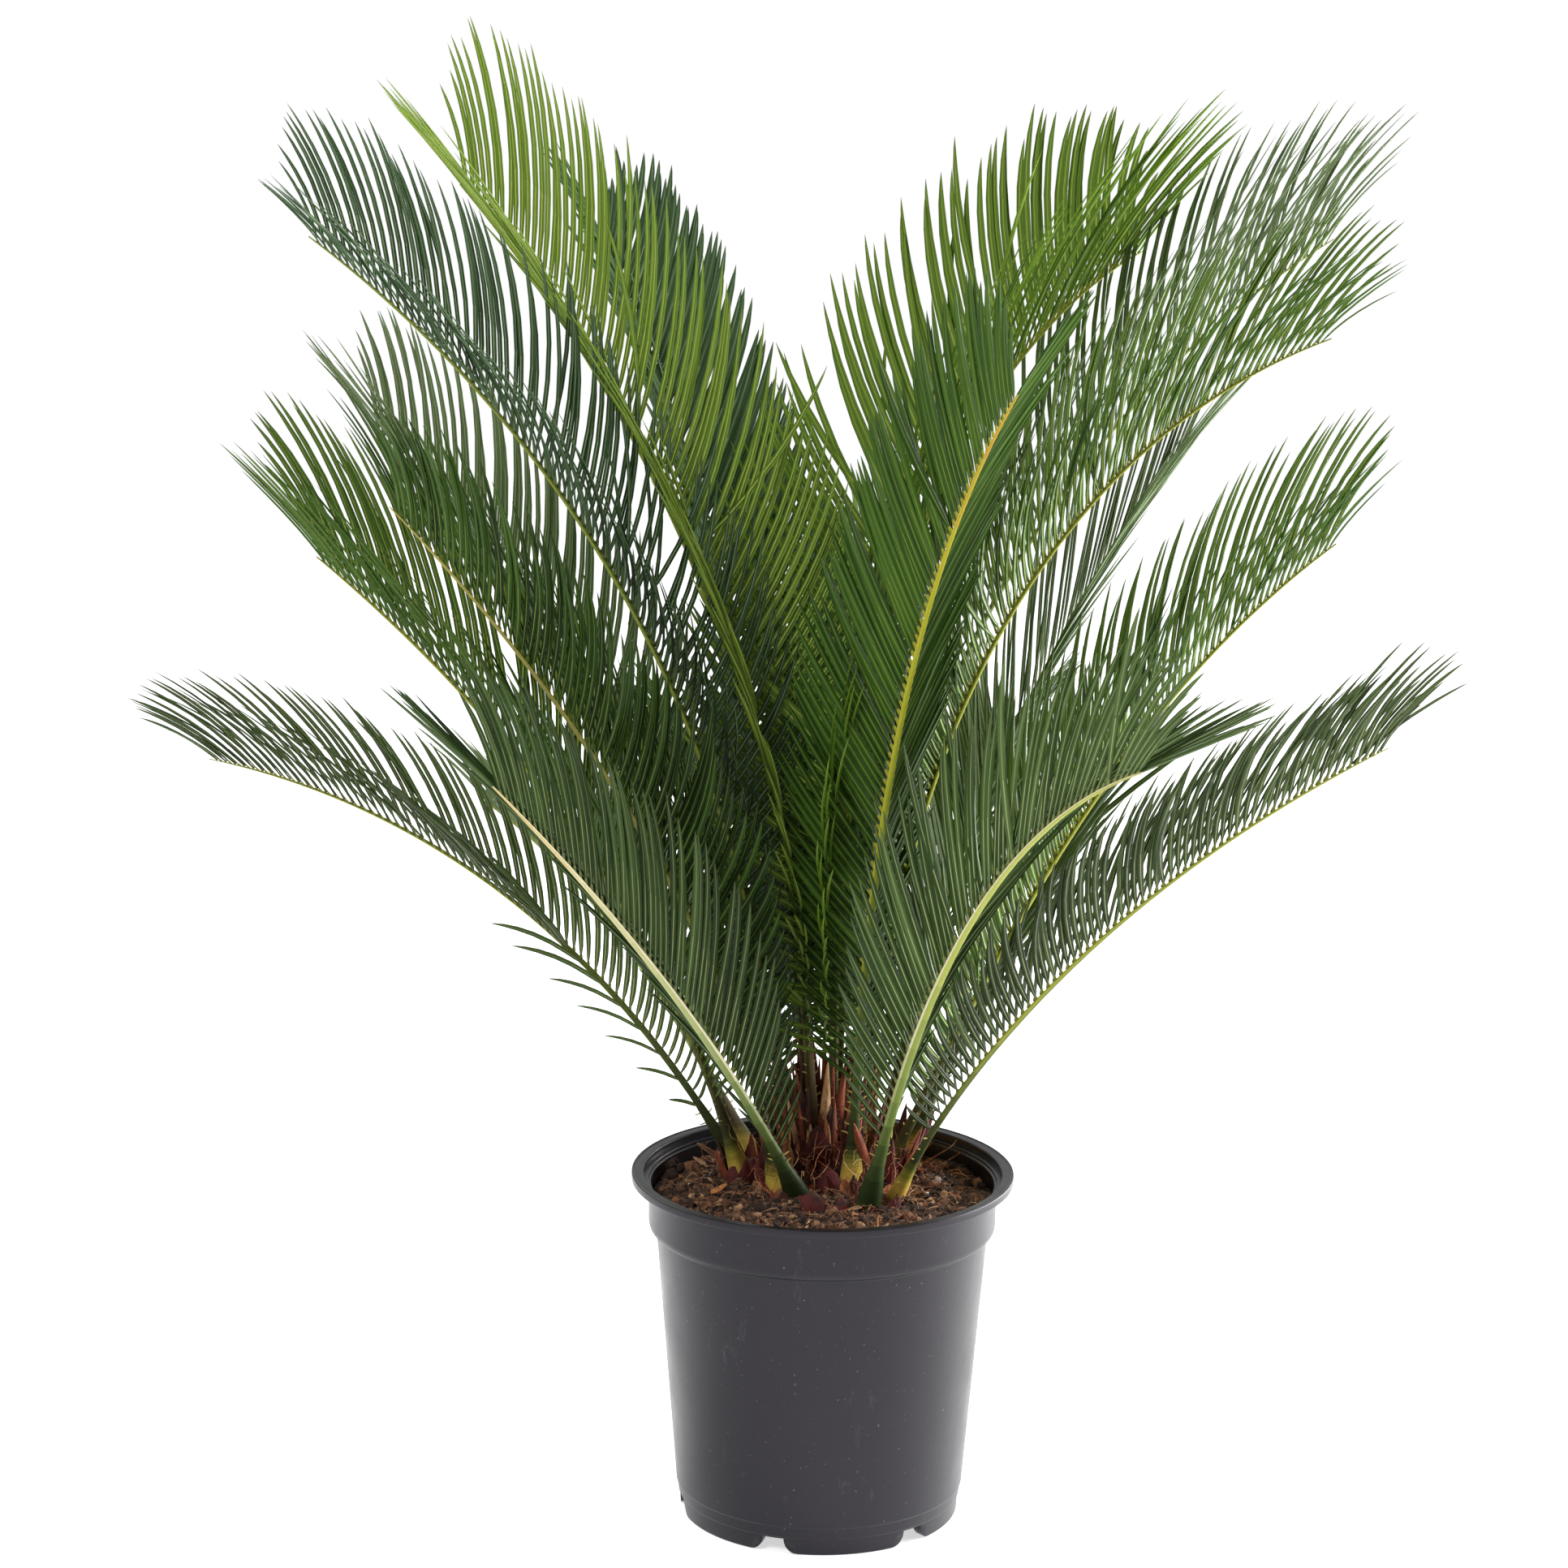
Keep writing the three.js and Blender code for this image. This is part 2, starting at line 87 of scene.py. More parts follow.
DRAIN_SIDES = 24
POT_COLOURS = (19, 18, 21), (25, 24, 27)
DUST_COLOUR = (92, 91, 94)

# ---- soil
SOIL_TOP = 205 * MM
SOIL_MOUND = 5 * MM  # the middle stands this much higher
SOIL_LUMP = 1.2 * MM
SOIL_WAVES = (13 * MM, 11 * MM, 7 * MM)  # lengths per radian of the lumps across, along and aslant
COARSE_CRUMBS = (110, 1.8 * MM)  # fineness of the noise, and its height
FINE_CRUMBS = (320, 1.0 * MM)
SOIL_GAP = 0.45 * MM
SOIL_RINGS = 84
SOIL_SEGMENTS = 168
# name, colour, colour of the dark streaks, fineness of the grain, and roughness
SOIL_TINTS = [
    ("peat_dark", (62, 42, 31), (20, 12, 9), 600, 0.95),
    ("peat_brown", (130, 92, 66), (52, 34, 24), 600, 0.95),
    ("peat_rust", (154, 106, 74), (76, 47, 32), 600, 0.95),
    ("bark_tan", (196, 154, 112), (120, 82, 56), 500, 0.85),
    ("bark_orange", (222, 152, 92), (150, 88, 48), 500, 0.85),
    ("perlite", (236, 232, 224), (188, 180, 168), 700, 0.9),
]
PERLITE_TINT = 5
CLODS, FIBRES, CHIPS = 3200, 620, 150  # how many lie on the soil
CLOD_SIZE, CLOD_SPREAD, LARGEST_CLOD = 1.36, 0.55, 5  # millimetres, and a logarithm's spread

# x, y, height above the soil and size in millimetres
PERLITE = [
    (74, 25, 1.6, 2.3), (66, -3, 1, 1.3), (95, 32, 1.2, 1.5), (96, 14, 1, 1.3), (84, -20, 0.6, 0.9),
    (-58, -44, 0.6, 0.9), (-84, 12, 0.6, 1), (30, -78, 0.6, 0.8), (-14, 88, 0.8, 1.4), (62, 66, 0.8, 1.2),
]
WALL_CLUMP = [
    (-93, 34, 1, 5), (-95, 26, 3, 4.4), (-92, 41, 3, 4.6), (-96, 32, 7, 4.2), (-90, 30, 5, 3.6),
    (-94, 38, 9, 3),
]
# x, y, height above the soil, length, heading and rise
TWIGS = [
    (56, 52, 0, 27, 60, 52), (63, 47, 0, 30, 96, 40), (70, 44, 0, 26, 118, 26), (60, 58, 0, 24, 20, 58),
    (-52, -30, 1, 22, -60, 8), (-30, 84, 0, 24, 150, 20),
]
# x, y, height above the soil, length, half width, heading, rise and tint
LAID_CHIPS = [
    (-65, -8, 2.6, 15, 2.6, 141, 8, 4), (-72, 64, 6, 20, 2, -80, 34, 3), (-65, 68, 5, 16, 1.9, 62, 40, 3),
    (-77, 56, 3, 14, 1.8, -122, 22, 3), (62, 33, 2.5, 9, 1.8, 80, 10, 4), (58, -26, 2.5, 11, 2, 70, 8, 2),
    (19, -46, 3, 11, 2.8, 62, 20, 3), (24, -42, 4, 9, 1.5, 22, 40, 1), (-20, 90, 3, 13, 2, 80, 12, 3),
]

# ---- stems
# x, y, radius and top of the main stem, and of the offsets round it
HEART = (0.0, 49 * MM, 27 * MM, 238 * MM)
OFFSETS = [
    (-45 * MM, 32 * MM, 17 * MM, 219 * MM),
    (-21 * MM, -12 * MM, 14 * MM, 217 * MM),
    (18 * MM, 5 * MM, 14 * MM, 217 * MM),
    (33 * MM, -25 * MM, 12 * MM, 215 * MM),
    (40 * MM, 27 * MM, 14 * MM, 217 * MM),
]
# radius, count and lengths of the heart's rings of scales in millimetres
HEART_SCALES = [(35, 36, 20, 40), (33, 38, 36, 58), (30, 38, 52, 74), (25, 34, 64, 86), (19, 24, 76, 98)]
# fat crimson scales: x, y, height above the soil, heading, length and width
BULBS = [
    (3, -6, -2, 10, 22, 17), (-7, -42, -3, -10, 20, 18), (12, -40, -3, 40, 15, 14),
    (-57, 16, -2, -50, 17, 14), (-42, 12, -2, -10, 20, 15), (-31, -2, -2, -60, 18, 14),
    (-15, 18, 4, -20, 28, 19), (8, 16, 4, 10, 27, 18), (30, 12, 2, 30, 26, 17),
    (-24, 26, 2, -50, 26, 16), (26, -34, -2, 20, 15, 13), (-16, -26, -2, -30, 16, 14),
    (46, 14, 0, 70, 20, 14), (20, 62, 8, 150, 26, 16), (-20, 64, 8, -150, 26, 16),
    (-60, 40, 0, -110, 18, 13), (-3, 13, 16, -5, 26, 17), (18, 20, 18, 25, 24, 15),
    (-12, 24, 24, -25, 26, 14), (2, 0, 1, -15, 20, 15), (-20, 6, -1, -35, 18, 14),
    (20, 2, -1, 35, 18, 14), (38, 22, 10, 40, 24, 14), (-36, 26, 6, -60, 24, 13),
]
OFFSET_SCALES = [(14, 38), (9, 22), (12, 30), (9, 20), (28, 64)]  # their scales' lengths in millimetres
STEM_FOOT = 180 * MM
STEM_RINGS, STEM_SIDES = 26, 40
STEM_POLE = 0.06  # radians that the first and last ring stand off the stem's poles
BARK_RELIEF = [(0.07, 160), (0.04, 420)]  # share of the radius, and fineness of the noise
SCALE_TINTS = [
    ("scale_rust", (170, 88, 56), (84, 36, 25), 300),
    ("scale_tan", (212, 142, 94), (132, 74, 48), 300),
    ("scale_dark", (88, 46, 32), (36, 17, 13), 300),
    ("scale_crimson", (104, 34, 30), (46, 14, 13), 240),
    ("scale_straw", (232, 190, 134), (166, 110, 70), 300),
]
RUST, TAN, DARK, CRIMSON, STRAW = range(5)
OFFSET_RING = 20  # scales round each offset
FOOT_RING = 6  # scales round the foot of each frond
LAST_SHEATHED_Y = 60 * MM  # the fronds behind this have none
BULB_LEAN, BULB_CURL = 84, -46
CROWN_FIBRES = 34  # round each stem, and five times as many round the heart

# ---- fronds
# azimuth is the heading from the front towards +X, and sweep how far it turns on the way. rise and
# end are the elevations of the midrib at its foot and tip. bend above 1 keeps a frond straight for
# longer. roll and twist turn the blade about the midrib. leaf and width scale its leaflets' length
# and width. keel is how far the two rows stand up out of a flat blade, and spread is added to the
# leaflets' angle. The columns are name, foot x, foot y, azimuth, sweep, rise, end, bend, length,
# roll, twist, leaf, width, keel, spread and look.
FRONDS = [
    ("frond_left_1", -6, 47, -96, 0, 89.5, 49, 1.1, 678, 39, 0, 1.2, 0.82, 45, 0, "bright"),
    ("frond_left_2", -6, 62, -156, 0, 80, 30, 1.05, 690, -4, -4, 1, 1.3, 45, 0, "deep"),
    ("frond_left_3", -20, 38, -74, 6, 85, 37, 1.2, 700, 42, 2, 1, 0.82, 45, 0, "deep"),
    ("frond_left_4", -22, 56, -115, 0, 71, 42, 0.97, 548, 8, 2, 1.05, 0.84, 45, 0, "hazy"),
    ("frond_left_5", -28, -8, -57, 7, 86, 44, 0.55, 552, 12, -5, 0.94, 0.94, 45, -6, "fern"),
    ("frond_left_6", -50, 22, -93, 6, 76, 40, 0.85, 488, 23, -1, 1.17, 1.12, 45, -8, "meadow"),
    ("frond_left_7", -13, -18, -36, -16, 58, 45, 0.65, 403, -19, -18, 0.95, 1, 45, -9, "sage"),
    ("frond_left_8", -50, 42, -78, 1, 60, 14, 1.34, 452, 112, -99, 0.82, 0.9, 40, -9, "olive"),
    ("frond_left_9", -42, 60, -145, -5, 44, 5, 1, 408, -10, 0, 0.85, 1, 45, 0, "hazy"),
    ("frond_right_1", 18, 5, 16, 8, 84, 43, 1.38, 598, -4, 17, 0.94, 1, 45, 0, "gold"),
    ("frond_right_2", 8, 32, 125, 7, 92, 17, 1.87, 679, -6, 14, 1.3, 1.02, 45, 6, "lush"),
    ("frond_right_3", 18, 58, 118, -10, 90, 29, 1.1, 703, -9, 16, 1.2, 0.76, 45, 0, "hazy"),
    ("frond_right_4", 21, 43, 84, -6, 84, 22, 1.87, 647, -25, 10, 1.03, 0.82, 45, 0, "meadow"),
    ("frond_right_5", 34, 64, 130, 2, 73, 38, 1.43, 519, -34, 0, 1, 0.86, 68, 0, "hazy"),
    ("frond_right_6", 36, 24, 70, -2, 65, 39, 2.25, 520, -30, 4, 1, 0.94, 45, -6, "meadow"),
    ("frond_right_7", 27, -32, 31, 3, 70, 22, 1.54, 442, 0, 43, 1.02, 1, 45, -7, "mist"),
    ("frond_right_8", 42, -18, 54, -2, 65, 31, 0.71, 488, -16, 10, 0.85, 0.98, 45, -5, "olive"),
    ("frond_right_9", 50, 48, 143, 12, 54, 20, 0.8, 370, 0, 0, 0.95, 1, 45, 0, "olive"),
    ("frond_back_1", 9, 71, 176, 0, 76, 12, 1, 480, 0, 0, 1, 1, 45, 0, "meadow"),
    ("frond_back_2", -22, 76, -168, 0, 60, 2, 1, 400, 0, 0, 0.95, 1, 45, 0, "sage"),
    ("frond_back_3", 26, 84, 161, 0, 62, 4, 1, 400, 0, 0, 0.95, 1, 45, 0, "olive"),
]
FOOT_HEIGHT = SOIL_TOP
BURIED = 0.03  # share of the midrib's length that reaches below the soil
MIDRIB_STEPS = 60
MIDRIB_SAMPLES = 220  # points of each midrib that leaflets are kept clear of
LEAFLET_LENGTH = 122 * MM
# shares of the midrib's length, and the leaflets' length and angle there
LENGTH_SHARE = ([0.1, 0.2, 0.32, 0.45, 0.85, 0.93, 0.97, 1.0], [0.2, 0.5, 0.85, 1, 1, 0.92, 0.75, 0.35])
LEAFLET_ANGLE = ([0.1, 0.25, 0.4, 0.6, 0.8, 0.92, 1.0], [68, 54, 46, 39, 35, 32, 27])

LEAFLET_SPACING = 6.3 * MM
FIRST_LEAFLET = 0.125
LAST_LEAFLET = 0.995
LEAFLET_WIDTH = 4.7 * MM
LEAFLET_LEAST_WIDTH = 3.5 * MM
FULL_WIDTH_LENGTH = 70 * MM  # shorter leaflets are narrower too
LEAFLET_FILL = 1.2  # share of the room between neighbours that a leaflet is wide
LEAFLET_BEND = 22  # degrees that a leaflet turns towards the tip over its length
LEAFLET_ARCH = 26  # degrees that its keel drops over its length, so that it arches outwards
LEAFLET_TILT = 25  # degrees that a leaflet turns about its own length
TILTS = {"frond_right_5": -14, "frond_left_8": 48, "frond_right_2": 12, "frond_left_1": 18}
LEAFLET_DROOP = 0.03
ANGLE_SPREAD, KEEL_SPREAD, TILT_SPREAD, LENGTH_SPREAD, DROOP_SPREAD = 1.1, 2, 6, 0.035, 0.02
THINNED = {"frond_left_8": 3}  # the near row has only every third leaflet low down
THINNED_UP_TO, THINNED_KEEL, THINNED_LENGTH, THINNED_TURN = 0.42, 0.35, 0.74, -16
THINNED_BEND, THINNED_TILT = -30, 8  # and they curve outwards, their faces nearly flat to the row
RAISED_KEEL = 34  # beyond those, its leaflets are folded up towards the far row
STRAYS, STRAY_TURN = 0.05, 9  # share of leaflets that stray from their row, and by how far
ROOT_OUT, ROOT_UP = 0.6, 0.35  # in radii of the midrib, where a leaflet is rooted
LEAFLET_RINGS = np.array([0, 0.016, 0.036, 0.1, 0.22, 0.38, 0.56, 0.73, 0.86, 0.95, 1])
LEAFLET_WIDTHS = np.array([0.5, 0.46, 0.4, 0.78, 1, 1, 0.97, 0.86, 0.64, 0.32, 0.04])
LEAFLET_DEPTHS = np.array([2.2, 2.2, 1.7, 1.1, 1, 1, 1, 1, 1, 1, 1])
# across and up, in half widths: rolled-down edges, a sunken middle strip, and a rib below
LEAFLET_SECTION = np.array([
    (1, -0.42), (0.68, 0.17), (0.14, 0.0), (-0.14, 0.0), (-0.68, 0.17), (-1, -0.42),
    (-0.78, -0.2), (-0.22, -0.17), (0, -0.48), (0.22, -0.17), (0.78, -0.2),
])
# The middle strip's pale colour is partly the leaflet's own pale midline and partly a painted sheen
# highlight.
BLADE, VEIN_AND_SHEEN, UNDER = 0, 1, 2
SECTION_KINDS = [BLADE, BLADE, VEIN_AND_SHEEN, BLADE, BLADE, UNDER, UNDER, VEIN_AND_SHEEN, VEIN_AND_SHEEN, UNDER, UNDER]
LIGHT_SLOT, DARK_SLOT, VEIN_SLOT, FAINT_VEIN_SLOT, UNDER_SLOT, KNOB_SLOT = 1, 2, 3, 4, 5, 6
# shares of the leaflets that are of the dark and of the light tint, from foot to tip
DARK_SHARE = ([0.1, 0.35, 0.6, 1], [0.9, 0.7, 0.25, 0.1])
LIGHT_SHARE = ([0.1, 0.35, 0.6, 1], [0, 0.05, 0.25, 0.45])
# the strip's palest colour, with its painted sheen highlight, runs up to this ring
STRONG_VEIN_RINGS = 5  # the middle strip is palest up to this ring
MIDRIB_CLEARANCE = 4 * MM
# a leaflet that would meet another frond's midrib is turned up or down by these degrees, then
# shortened to these shares, and then left out
KEEL_SHIFTS = (0, 8, -8, 16, -16)
SHORTENINGS = (1, 0.72, 0.48)

LEAF_SHEEN = 0.13
RIB_RINGS = 84
FOOT_RINGS = 22
# across and up, in radii: a flat top between two shoulders, and a round underside
RIB_SECTION = np.array([
    (0.98, 0.1), (0.86, 0.42), (0.5, 0.55), (0, 0.5), (-0.5, 0.55), (-0.86, 0.42),
    (-0.98, 0.1), (-0.8, -0.5), (0, -0.85), (0.8, -0.5),
])
# The lit edge is a painted highlight: these side panels get a pale colour that stands in for light.
RIB_HIGHLIGHT_PANELS = np.array([1, 0, 0, 0, 0, 1, 1, 0, 0, 1])  # which panels round it are the lit edge
RIB_STOPS = [0.04, 0.2, 0.45, 0.75, 0.97]  # shares of the length where it has its five colours
RIB_SHADES = 20
# over these shares of the length the painted highlight on the side panels fades in from none to full
RIB_HIGHLIGHT_RAMP = [0.12, 0.34]
# the leaf base's colours from the soil up, and how far each gives way to the midrib's own colour
LEAF_BASE_COLOURS = [
    (104, 58, 42), (160, 104, 64), (196, 146, 78), (212, 168, 82), (216, 180, 84), (212, 180, 80),
    (202, 176, 76), (186, 168, 70), (168, 160, 64), (150, 150, 58), (134, 142, 54), (126, 134, 52),
]
LEAF_BASE_BLEND = [0, 0, 0, 0, 0, 0, 0.04, 0.12, 0.25, 0.42, 0.62, 0.84]
LEAF_BASE_STEP = 3.1 * MM
GREEN_BASES = ["frond_left_7", "frond_left_8", "frond_right_7"]
GREEN_BASE_SKIP = 8  # steps of the leaf base that they don't have
FOOT_RADII = (
    [0, 8 * MM, 20 * MM, 36 * MM, 60 * MM],
    [6.2 * MM, 8.6 * MM, 7.4 * MM, 5.0 * MM, 3.9 * MM],
)
RIB_RADII = ([0, 0.12, 0.5, 0.9, 1.0], [3.9 * MM, 3.4 * MM, 2.2 * MM, 1.1 * MM, 0.5 * MM])
THIN_RIBS = {"frond_left_8": 0.72, "frond_right_8": 0.84, "frond_right_1": 0.9}
FIRST_SPINE = 40 * MM
SPINE_SPACING = 6.5 * MM
SPINE_RADIUS = 0.6 * MM
SPINE_LENGTH = 4.6 * MM
SPINE_COLOUR = (190, 168, 96)
SPINE_SLOT = 2 * RIB_SHADES + len(LEAF_BASE_COLOURS)
SOIL_SEED, SCALE_SEED, FROND_SEED = 11, 23, 100


def srgb(red, green, blue):
    """A colour given by its screen values from 0 to 255, as the linear colour that shaders use."""
    share = np.array([red, green, blue]) / 255
    linear = np.where(share <= 0.04045, share / 12.92, ((share + 0.055) / 1.055) ** 2.4)
    return (*linear.tolist(), 1.0)


# Leaf colours: blade tints, the middle strip (its real pale colour and a painted sheen highlight),
# the underside, the knob at the root, the painted highlight of the midrib's lit edge, and the
# midrib's colours from its foot to its tip.
LOOKS = {
    "bright": (
        [(122, 152, 46), (142, 170, 60), (92, 122, 32)], (190, 202, 104), (118, 146, 60), (160, 168, 64),
        (158, 168, 72), [(92, 70, 40), (92, 90, 42), (112, 124, 46), (132, 146, 52), (146, 160, 60)],
    ),
    "lush": (
        [(98, 130, 34), (116, 148, 46), (74, 104, 24)], (172, 188, 84), (98, 126, 48), (148, 156, 56),
        (158, 168, 70), [(72, 66, 38), (86, 90, 40), (108, 122, 44), (138, 148, 52), (170, 172, 64)],
    ),
    "deep": (
        [(50, 76, 44), (68, 96, 62), (30, 52, 20)], (142, 162, 122), (70, 94, 60), (106, 120, 60),
        (150, 160, 70), [(88, 68, 40), (86, 84, 40), (110, 126, 46), (136, 150, 56), (148, 160, 70)],
    ),
    "hazy": (
        [(86, 104, 66), (102, 120, 80), (70, 88, 52)], (156, 168, 124), (104, 124, 82), (132, 142, 78),
        (150, 158, 96), [(80, 64, 40), (84, 84, 44), (106, 118, 56), (130, 142, 72), (146, 154, 86)],
    ),
    "sage": (
        [(46, 66, 26), (58, 80, 36), (35, 53, 19)], (126, 138, 86), (64, 86, 40), (110, 118, 66),
        (226, 218, 182), [(38, 48, 26), (96, 114, 58), (160, 168, 108), (204, 196, 146), (208, 178, 118)],
    ),
    "mist": (
        [(62, 84, 38), (77, 99, 50), (46, 67, 27)], (146, 156, 106), (80, 102, 54), (122, 128, 74),
        (224, 218, 178), [(44, 58, 30), (112, 130, 62), (164, 172, 84), (174, 180, 92), (170, 168, 88)],
    ),
    "gold": (
        [(50, 80, 20), (62, 93, 27), (38, 65, 15)], (104, 124, 42), (60, 88, 28), (150, 148, 46),
        (186, 182, 58), [(44, 50, 26), (88, 102, 40), (160, 166, 44), (176, 172, 44), (196, 142, 48)],
    ),
    "meadow": (
        [(66, 96, 32), (80, 112, 42), (50, 78, 24)], (158, 170, 84), (88, 116, 50), (128, 136, 54),
        (158, 162, 60), [(54, 52, 28), (76, 78, 34), (110, 108, 42), (134, 130, 54), (150, 150, 60)],
    ),
    "fern": (
        [(38, 64, 14), (52, 80, 24), (24, 45, 8)], (110, 130, 52), (56, 84, 26), (92, 104, 36),
        (158, 150, 80), [(46, 50, 24), (70, 76, 30), (98, 108, 40), (146, 140, 62), (176, 154, 88)],
    ),
    "olive": (
        [(50, 65, 33), (66, 83, 46), (38, 51, 25)], (144, 156, 106), (86, 106, 58), (120, 126, 62),
        (150, 154, 58), [(54, 60, 34), (74, 84, 44), (98, 108, 46), (134, 138, 54), (146, 142, 64)],
    ),
}


# ---- mesh from arrays
def unit(vectors):
    return vectors / np.linalg.norm(vectors, axis=-1, keepdims=True)


def sweep(centres, across, facing, widths, depths, section):
    """Rings of a section set along centre lines: (bodies, rings, points, 3)."""
    x = section[:, 0] * widths[..., None]
    z = section[:, 1] * depths[..., None]
    return centres[:, :, None] + across[:, :, None] * x[..., None] + facing[:, :, None] * z[..., None]


def axes_along(centres, facing):
    """The two axes square to each centre line at its rings."""
    direction = unit(np.gradient(centres, axis=1))
    across = unit(np.cross(np.broadcast_to(facing, direction.shape), direction))
    return across, np.cross(direction, across)


def compass(turn):
    """Level directions by heading, in radians from the front towards +X."""
    return np.stack([np.sin(turn), -np.cos(turn), 0 * turn], -1)


def add_object(name, data):
    thing = bpy.data.objects.new(name, data)
    bpy.context.scene.collection.objects.link(thing)
    return thing


class Bag:
    """Closed bodies, each lofted through rings of points, joined into one piece."""

    def __init__(self):
        self.points = []
        self.faces = []
        self.slots = []
        self.count = 0

    def add(self, rings, slots):
        """slots is the material of each wall panel, and fits (bodies, rings - 1, points)."""
        bodies, count, sides, _ = rings.shape
        row, column = np.meshgrid(np.arange(count - 1), np.arange(sides), indexing="ij")
        a = row * sides + column
        b = row * sides + (column + 1) % sides
        walls = np.stack([a, b, b + sides, a, b + sides, a + sides], -1).reshape(-1, 3)
        fan = np.arange(1, sides - 1)
        foot = np.stack([0 * fan, fan + 1, fan], -1)
        top = (count - 1) * sides + np.stack([0 * fan, fan, fan + 1], -1)
        faces = np.concatenate([walls, foot, top])
        offsets = self.count + np.arange(bodies) * count * sides
        panels = np.broadcast_to(slots, (bodies, count - 1, sides)).reshape(bodies, -1)
        ends = [np.repeat(panels[:, :1], len(fan), 1), np.repeat(panels[:, -1:], len(fan), 1)]
        self.points.append(rings.reshape(-1, 3))
        self.faces.append((faces + offsets[:, None, None]).reshape(-1, 3))
        self.slots.append(np.concatenate([np.repeat(panels, 2, 1), *ends], 1).ravel())
        self.count += bodies * count * sides

    def piece(self, name, materials, sharp, nodes, slot):
        """A piece that rides on the one body and stands for the nodes.

        sharp is the angle in degrees between faces above which their edge isn't smoothed.
        """
        points = np.concatenate(self.points).astype(np.float32)
        faces = np.concatenate(self.faces).astype(np.int32)
        slots = np.concatenate(self.slots).astype(np.int32)
        mesh = bpy.data.meshes.new(name)
        mesh.vertices.add(len(points))
        mesh.vertices.foreach_set("co", points.ravel())
        mesh.loops.add(faces.size)
        mesh.loops.foreach_set("vertex_index", faces.ravel())
        mesh.polygons.add(len(faces))
        mesh.polygons.foreach_set("loop_start", np.arange(0, faces.size, 3, dtype=np.int32))
        mesh.polygons.foreach_set("material_index", slots)
        mesh.polygons.foreach_set("use_smooth", np.ones(len(faces), dtype=bool))
        mesh.update(calc_edges=True)
        mesh.validate()
        mesh.set_sharp_from_angle(angle=math.radians(sharp))
        for material in materials:
            mesh.materials.append(material)
        piece = add_object(name, mesh)
        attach(piece, "root")
        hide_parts(*nodes)
        return piece


# ---- materials
def new_material(name):
    material = bpy.data.materials.new(name)
    material.use_nodes = True
    shader = material.node_tree.nodes["Principled BSDF"]
    return material, material.node_tree, shader


def set_inputs(node, values):
    """Each value is a plain one or an output of another node."""
    for name, value in values.items():
        if isinstance(value, bpy.types.NodeSocket):
            node.id_data.links.new(value, node.inputs[name])
        else:
            node.inputs[name].default_value = value


def add_node(tree, kind, inputs, **settings):
    node = tree.nodes.new(kind)
    for key, value in settings.items():
        setattr(node, key, value)
    set_inputs(node, inputs)
    return node.outputs


def noise_node(tree, scale, detail, roughness=0.5, stretch=(1, 1, 1)):
    """Noise in the object's own metres, so that its grain has a real size."""
    place = add_node(tree, "ShaderNodeTexCoord", {})["Object"]
    place = add_node(tree, "ShaderNodeMapping", {"Vector": place, "Scale": stretch})["Vector"]
    grain = {"Vector": place, "Scale": scale, "Detail": detail, "Roughness": roughness}
    return add_node(tree, "ShaderNodeTexNoise", grain)["Fac"]


def spread(tree, value, low, high, start=0.3, stop=0.7):
    """Maps a pattern's values from start..stop to low..high."""
    limits = {"Value": value, "From Min": start, "From Max": stop, "To Min": low, "To Max": high}
    return add_node(tree, "ShaderNodeMapRange", limits)["Result"]


def ramp(tree, value, stops):
    node = tree.nodes.new("ShaderNodeValToRGB")
    elements = node.color_ramp.elements
    while len(elements) < len(stops):
        elements.new(0.5)
    for element, (position, colour) in zip(elements, stops):
        element.position = position
        element.color = colour
    set_inputs(node, {"Fac": value})
    return node.outputs["Color"]


def bump(tree, shader, height, strength, distance):
    relief = {"Height": height, "Strength": strength, "Distance": distance}
    set_inputs(shader, {"Normal": add_node(tree, "ShaderNodeBump", relief)["Normal"]})


def leaf_material(name, colour, roughness):
    """A waxy leaf surface: one plain tint, with sheen that varies in small patches."""
    material, tree, shader = new_material(name)
    rough = spread(tree, noise_node(tree, 140, 3), roughness, roughness + 0.16)
    set_inputs(shader, {"Base Color": srgb(*colour), "Specular IOR Level": LEAF_SHEEN, "Roughness": rough})
    bump(tree, shader, noise_node(tree, 900, 2), 0.25, 0.3 * MM)
    return material


def fibrous_material(name, colour, dark, scale, roughness=0.8):
    """A dry, streaky surface for scales, bark and bits of wood."""
    material, tree, shader = new_material(name)
    streaks = noise_node(tree, scale, 5, 0.65, (1, 1, 0.22))
    tone = ramp(tree, streaks, [(0.32, srgb(*dark)), (0.62, srgb(*colour))])
    set_inputs(shader, {"Base Color": tone, "Roughness": roughness})
    bump(tree, shader, streaks, 0.6, 0.6 * MM)
    return material


def pot_material():
    """Charcoal moulded plastic: a fine skin, dust specks and light scuffs."""
    material, tree, shader = new_material("pot_plastic")
    cloud = noise_node(tree, 9, 4, 0.6, (1, 1, 0.35))
    base = ramp(tree, cloud, [(0.3, srgb(*POT_COLOURS[0])), (0.7, srgb(*POT_COLOURS[1]))])
    specks = spread(tree, noise_node(tree, 520, 2, 0.5), 0, 1, 0.72, 0.76)
    scuffs = spread(tree, noise_node(tree, 60, 6, 0.75, (1, 1, 0.3)), 0, 0.35, 0.62, 0.78)
    marks = add_node(tree, "ShaderNodeMath", {0: specks, 1: scuffs}, operation="MAXIMUM")["Value"]
    blend = {"Factor": marks, "A": base, "B": srgb(*DUST_COLOUR)}
    set_inputs(shader, {
        "Base Color": add_node(tree, "ShaderNodeMix", blend, data_type="RGBA")["Result"],
        "Specular IOR Level": 0.36,
        "Specular Tint": srgb(246, 240, 255),
        "Roughness": spread(tree, noise_node(tree, 34, 5, 0.6), 0.27, 0.36),
    })
    bump(tree, shader, noise_node(tree, 1500, 2), 0.12, 0.2 * MM)
    return material


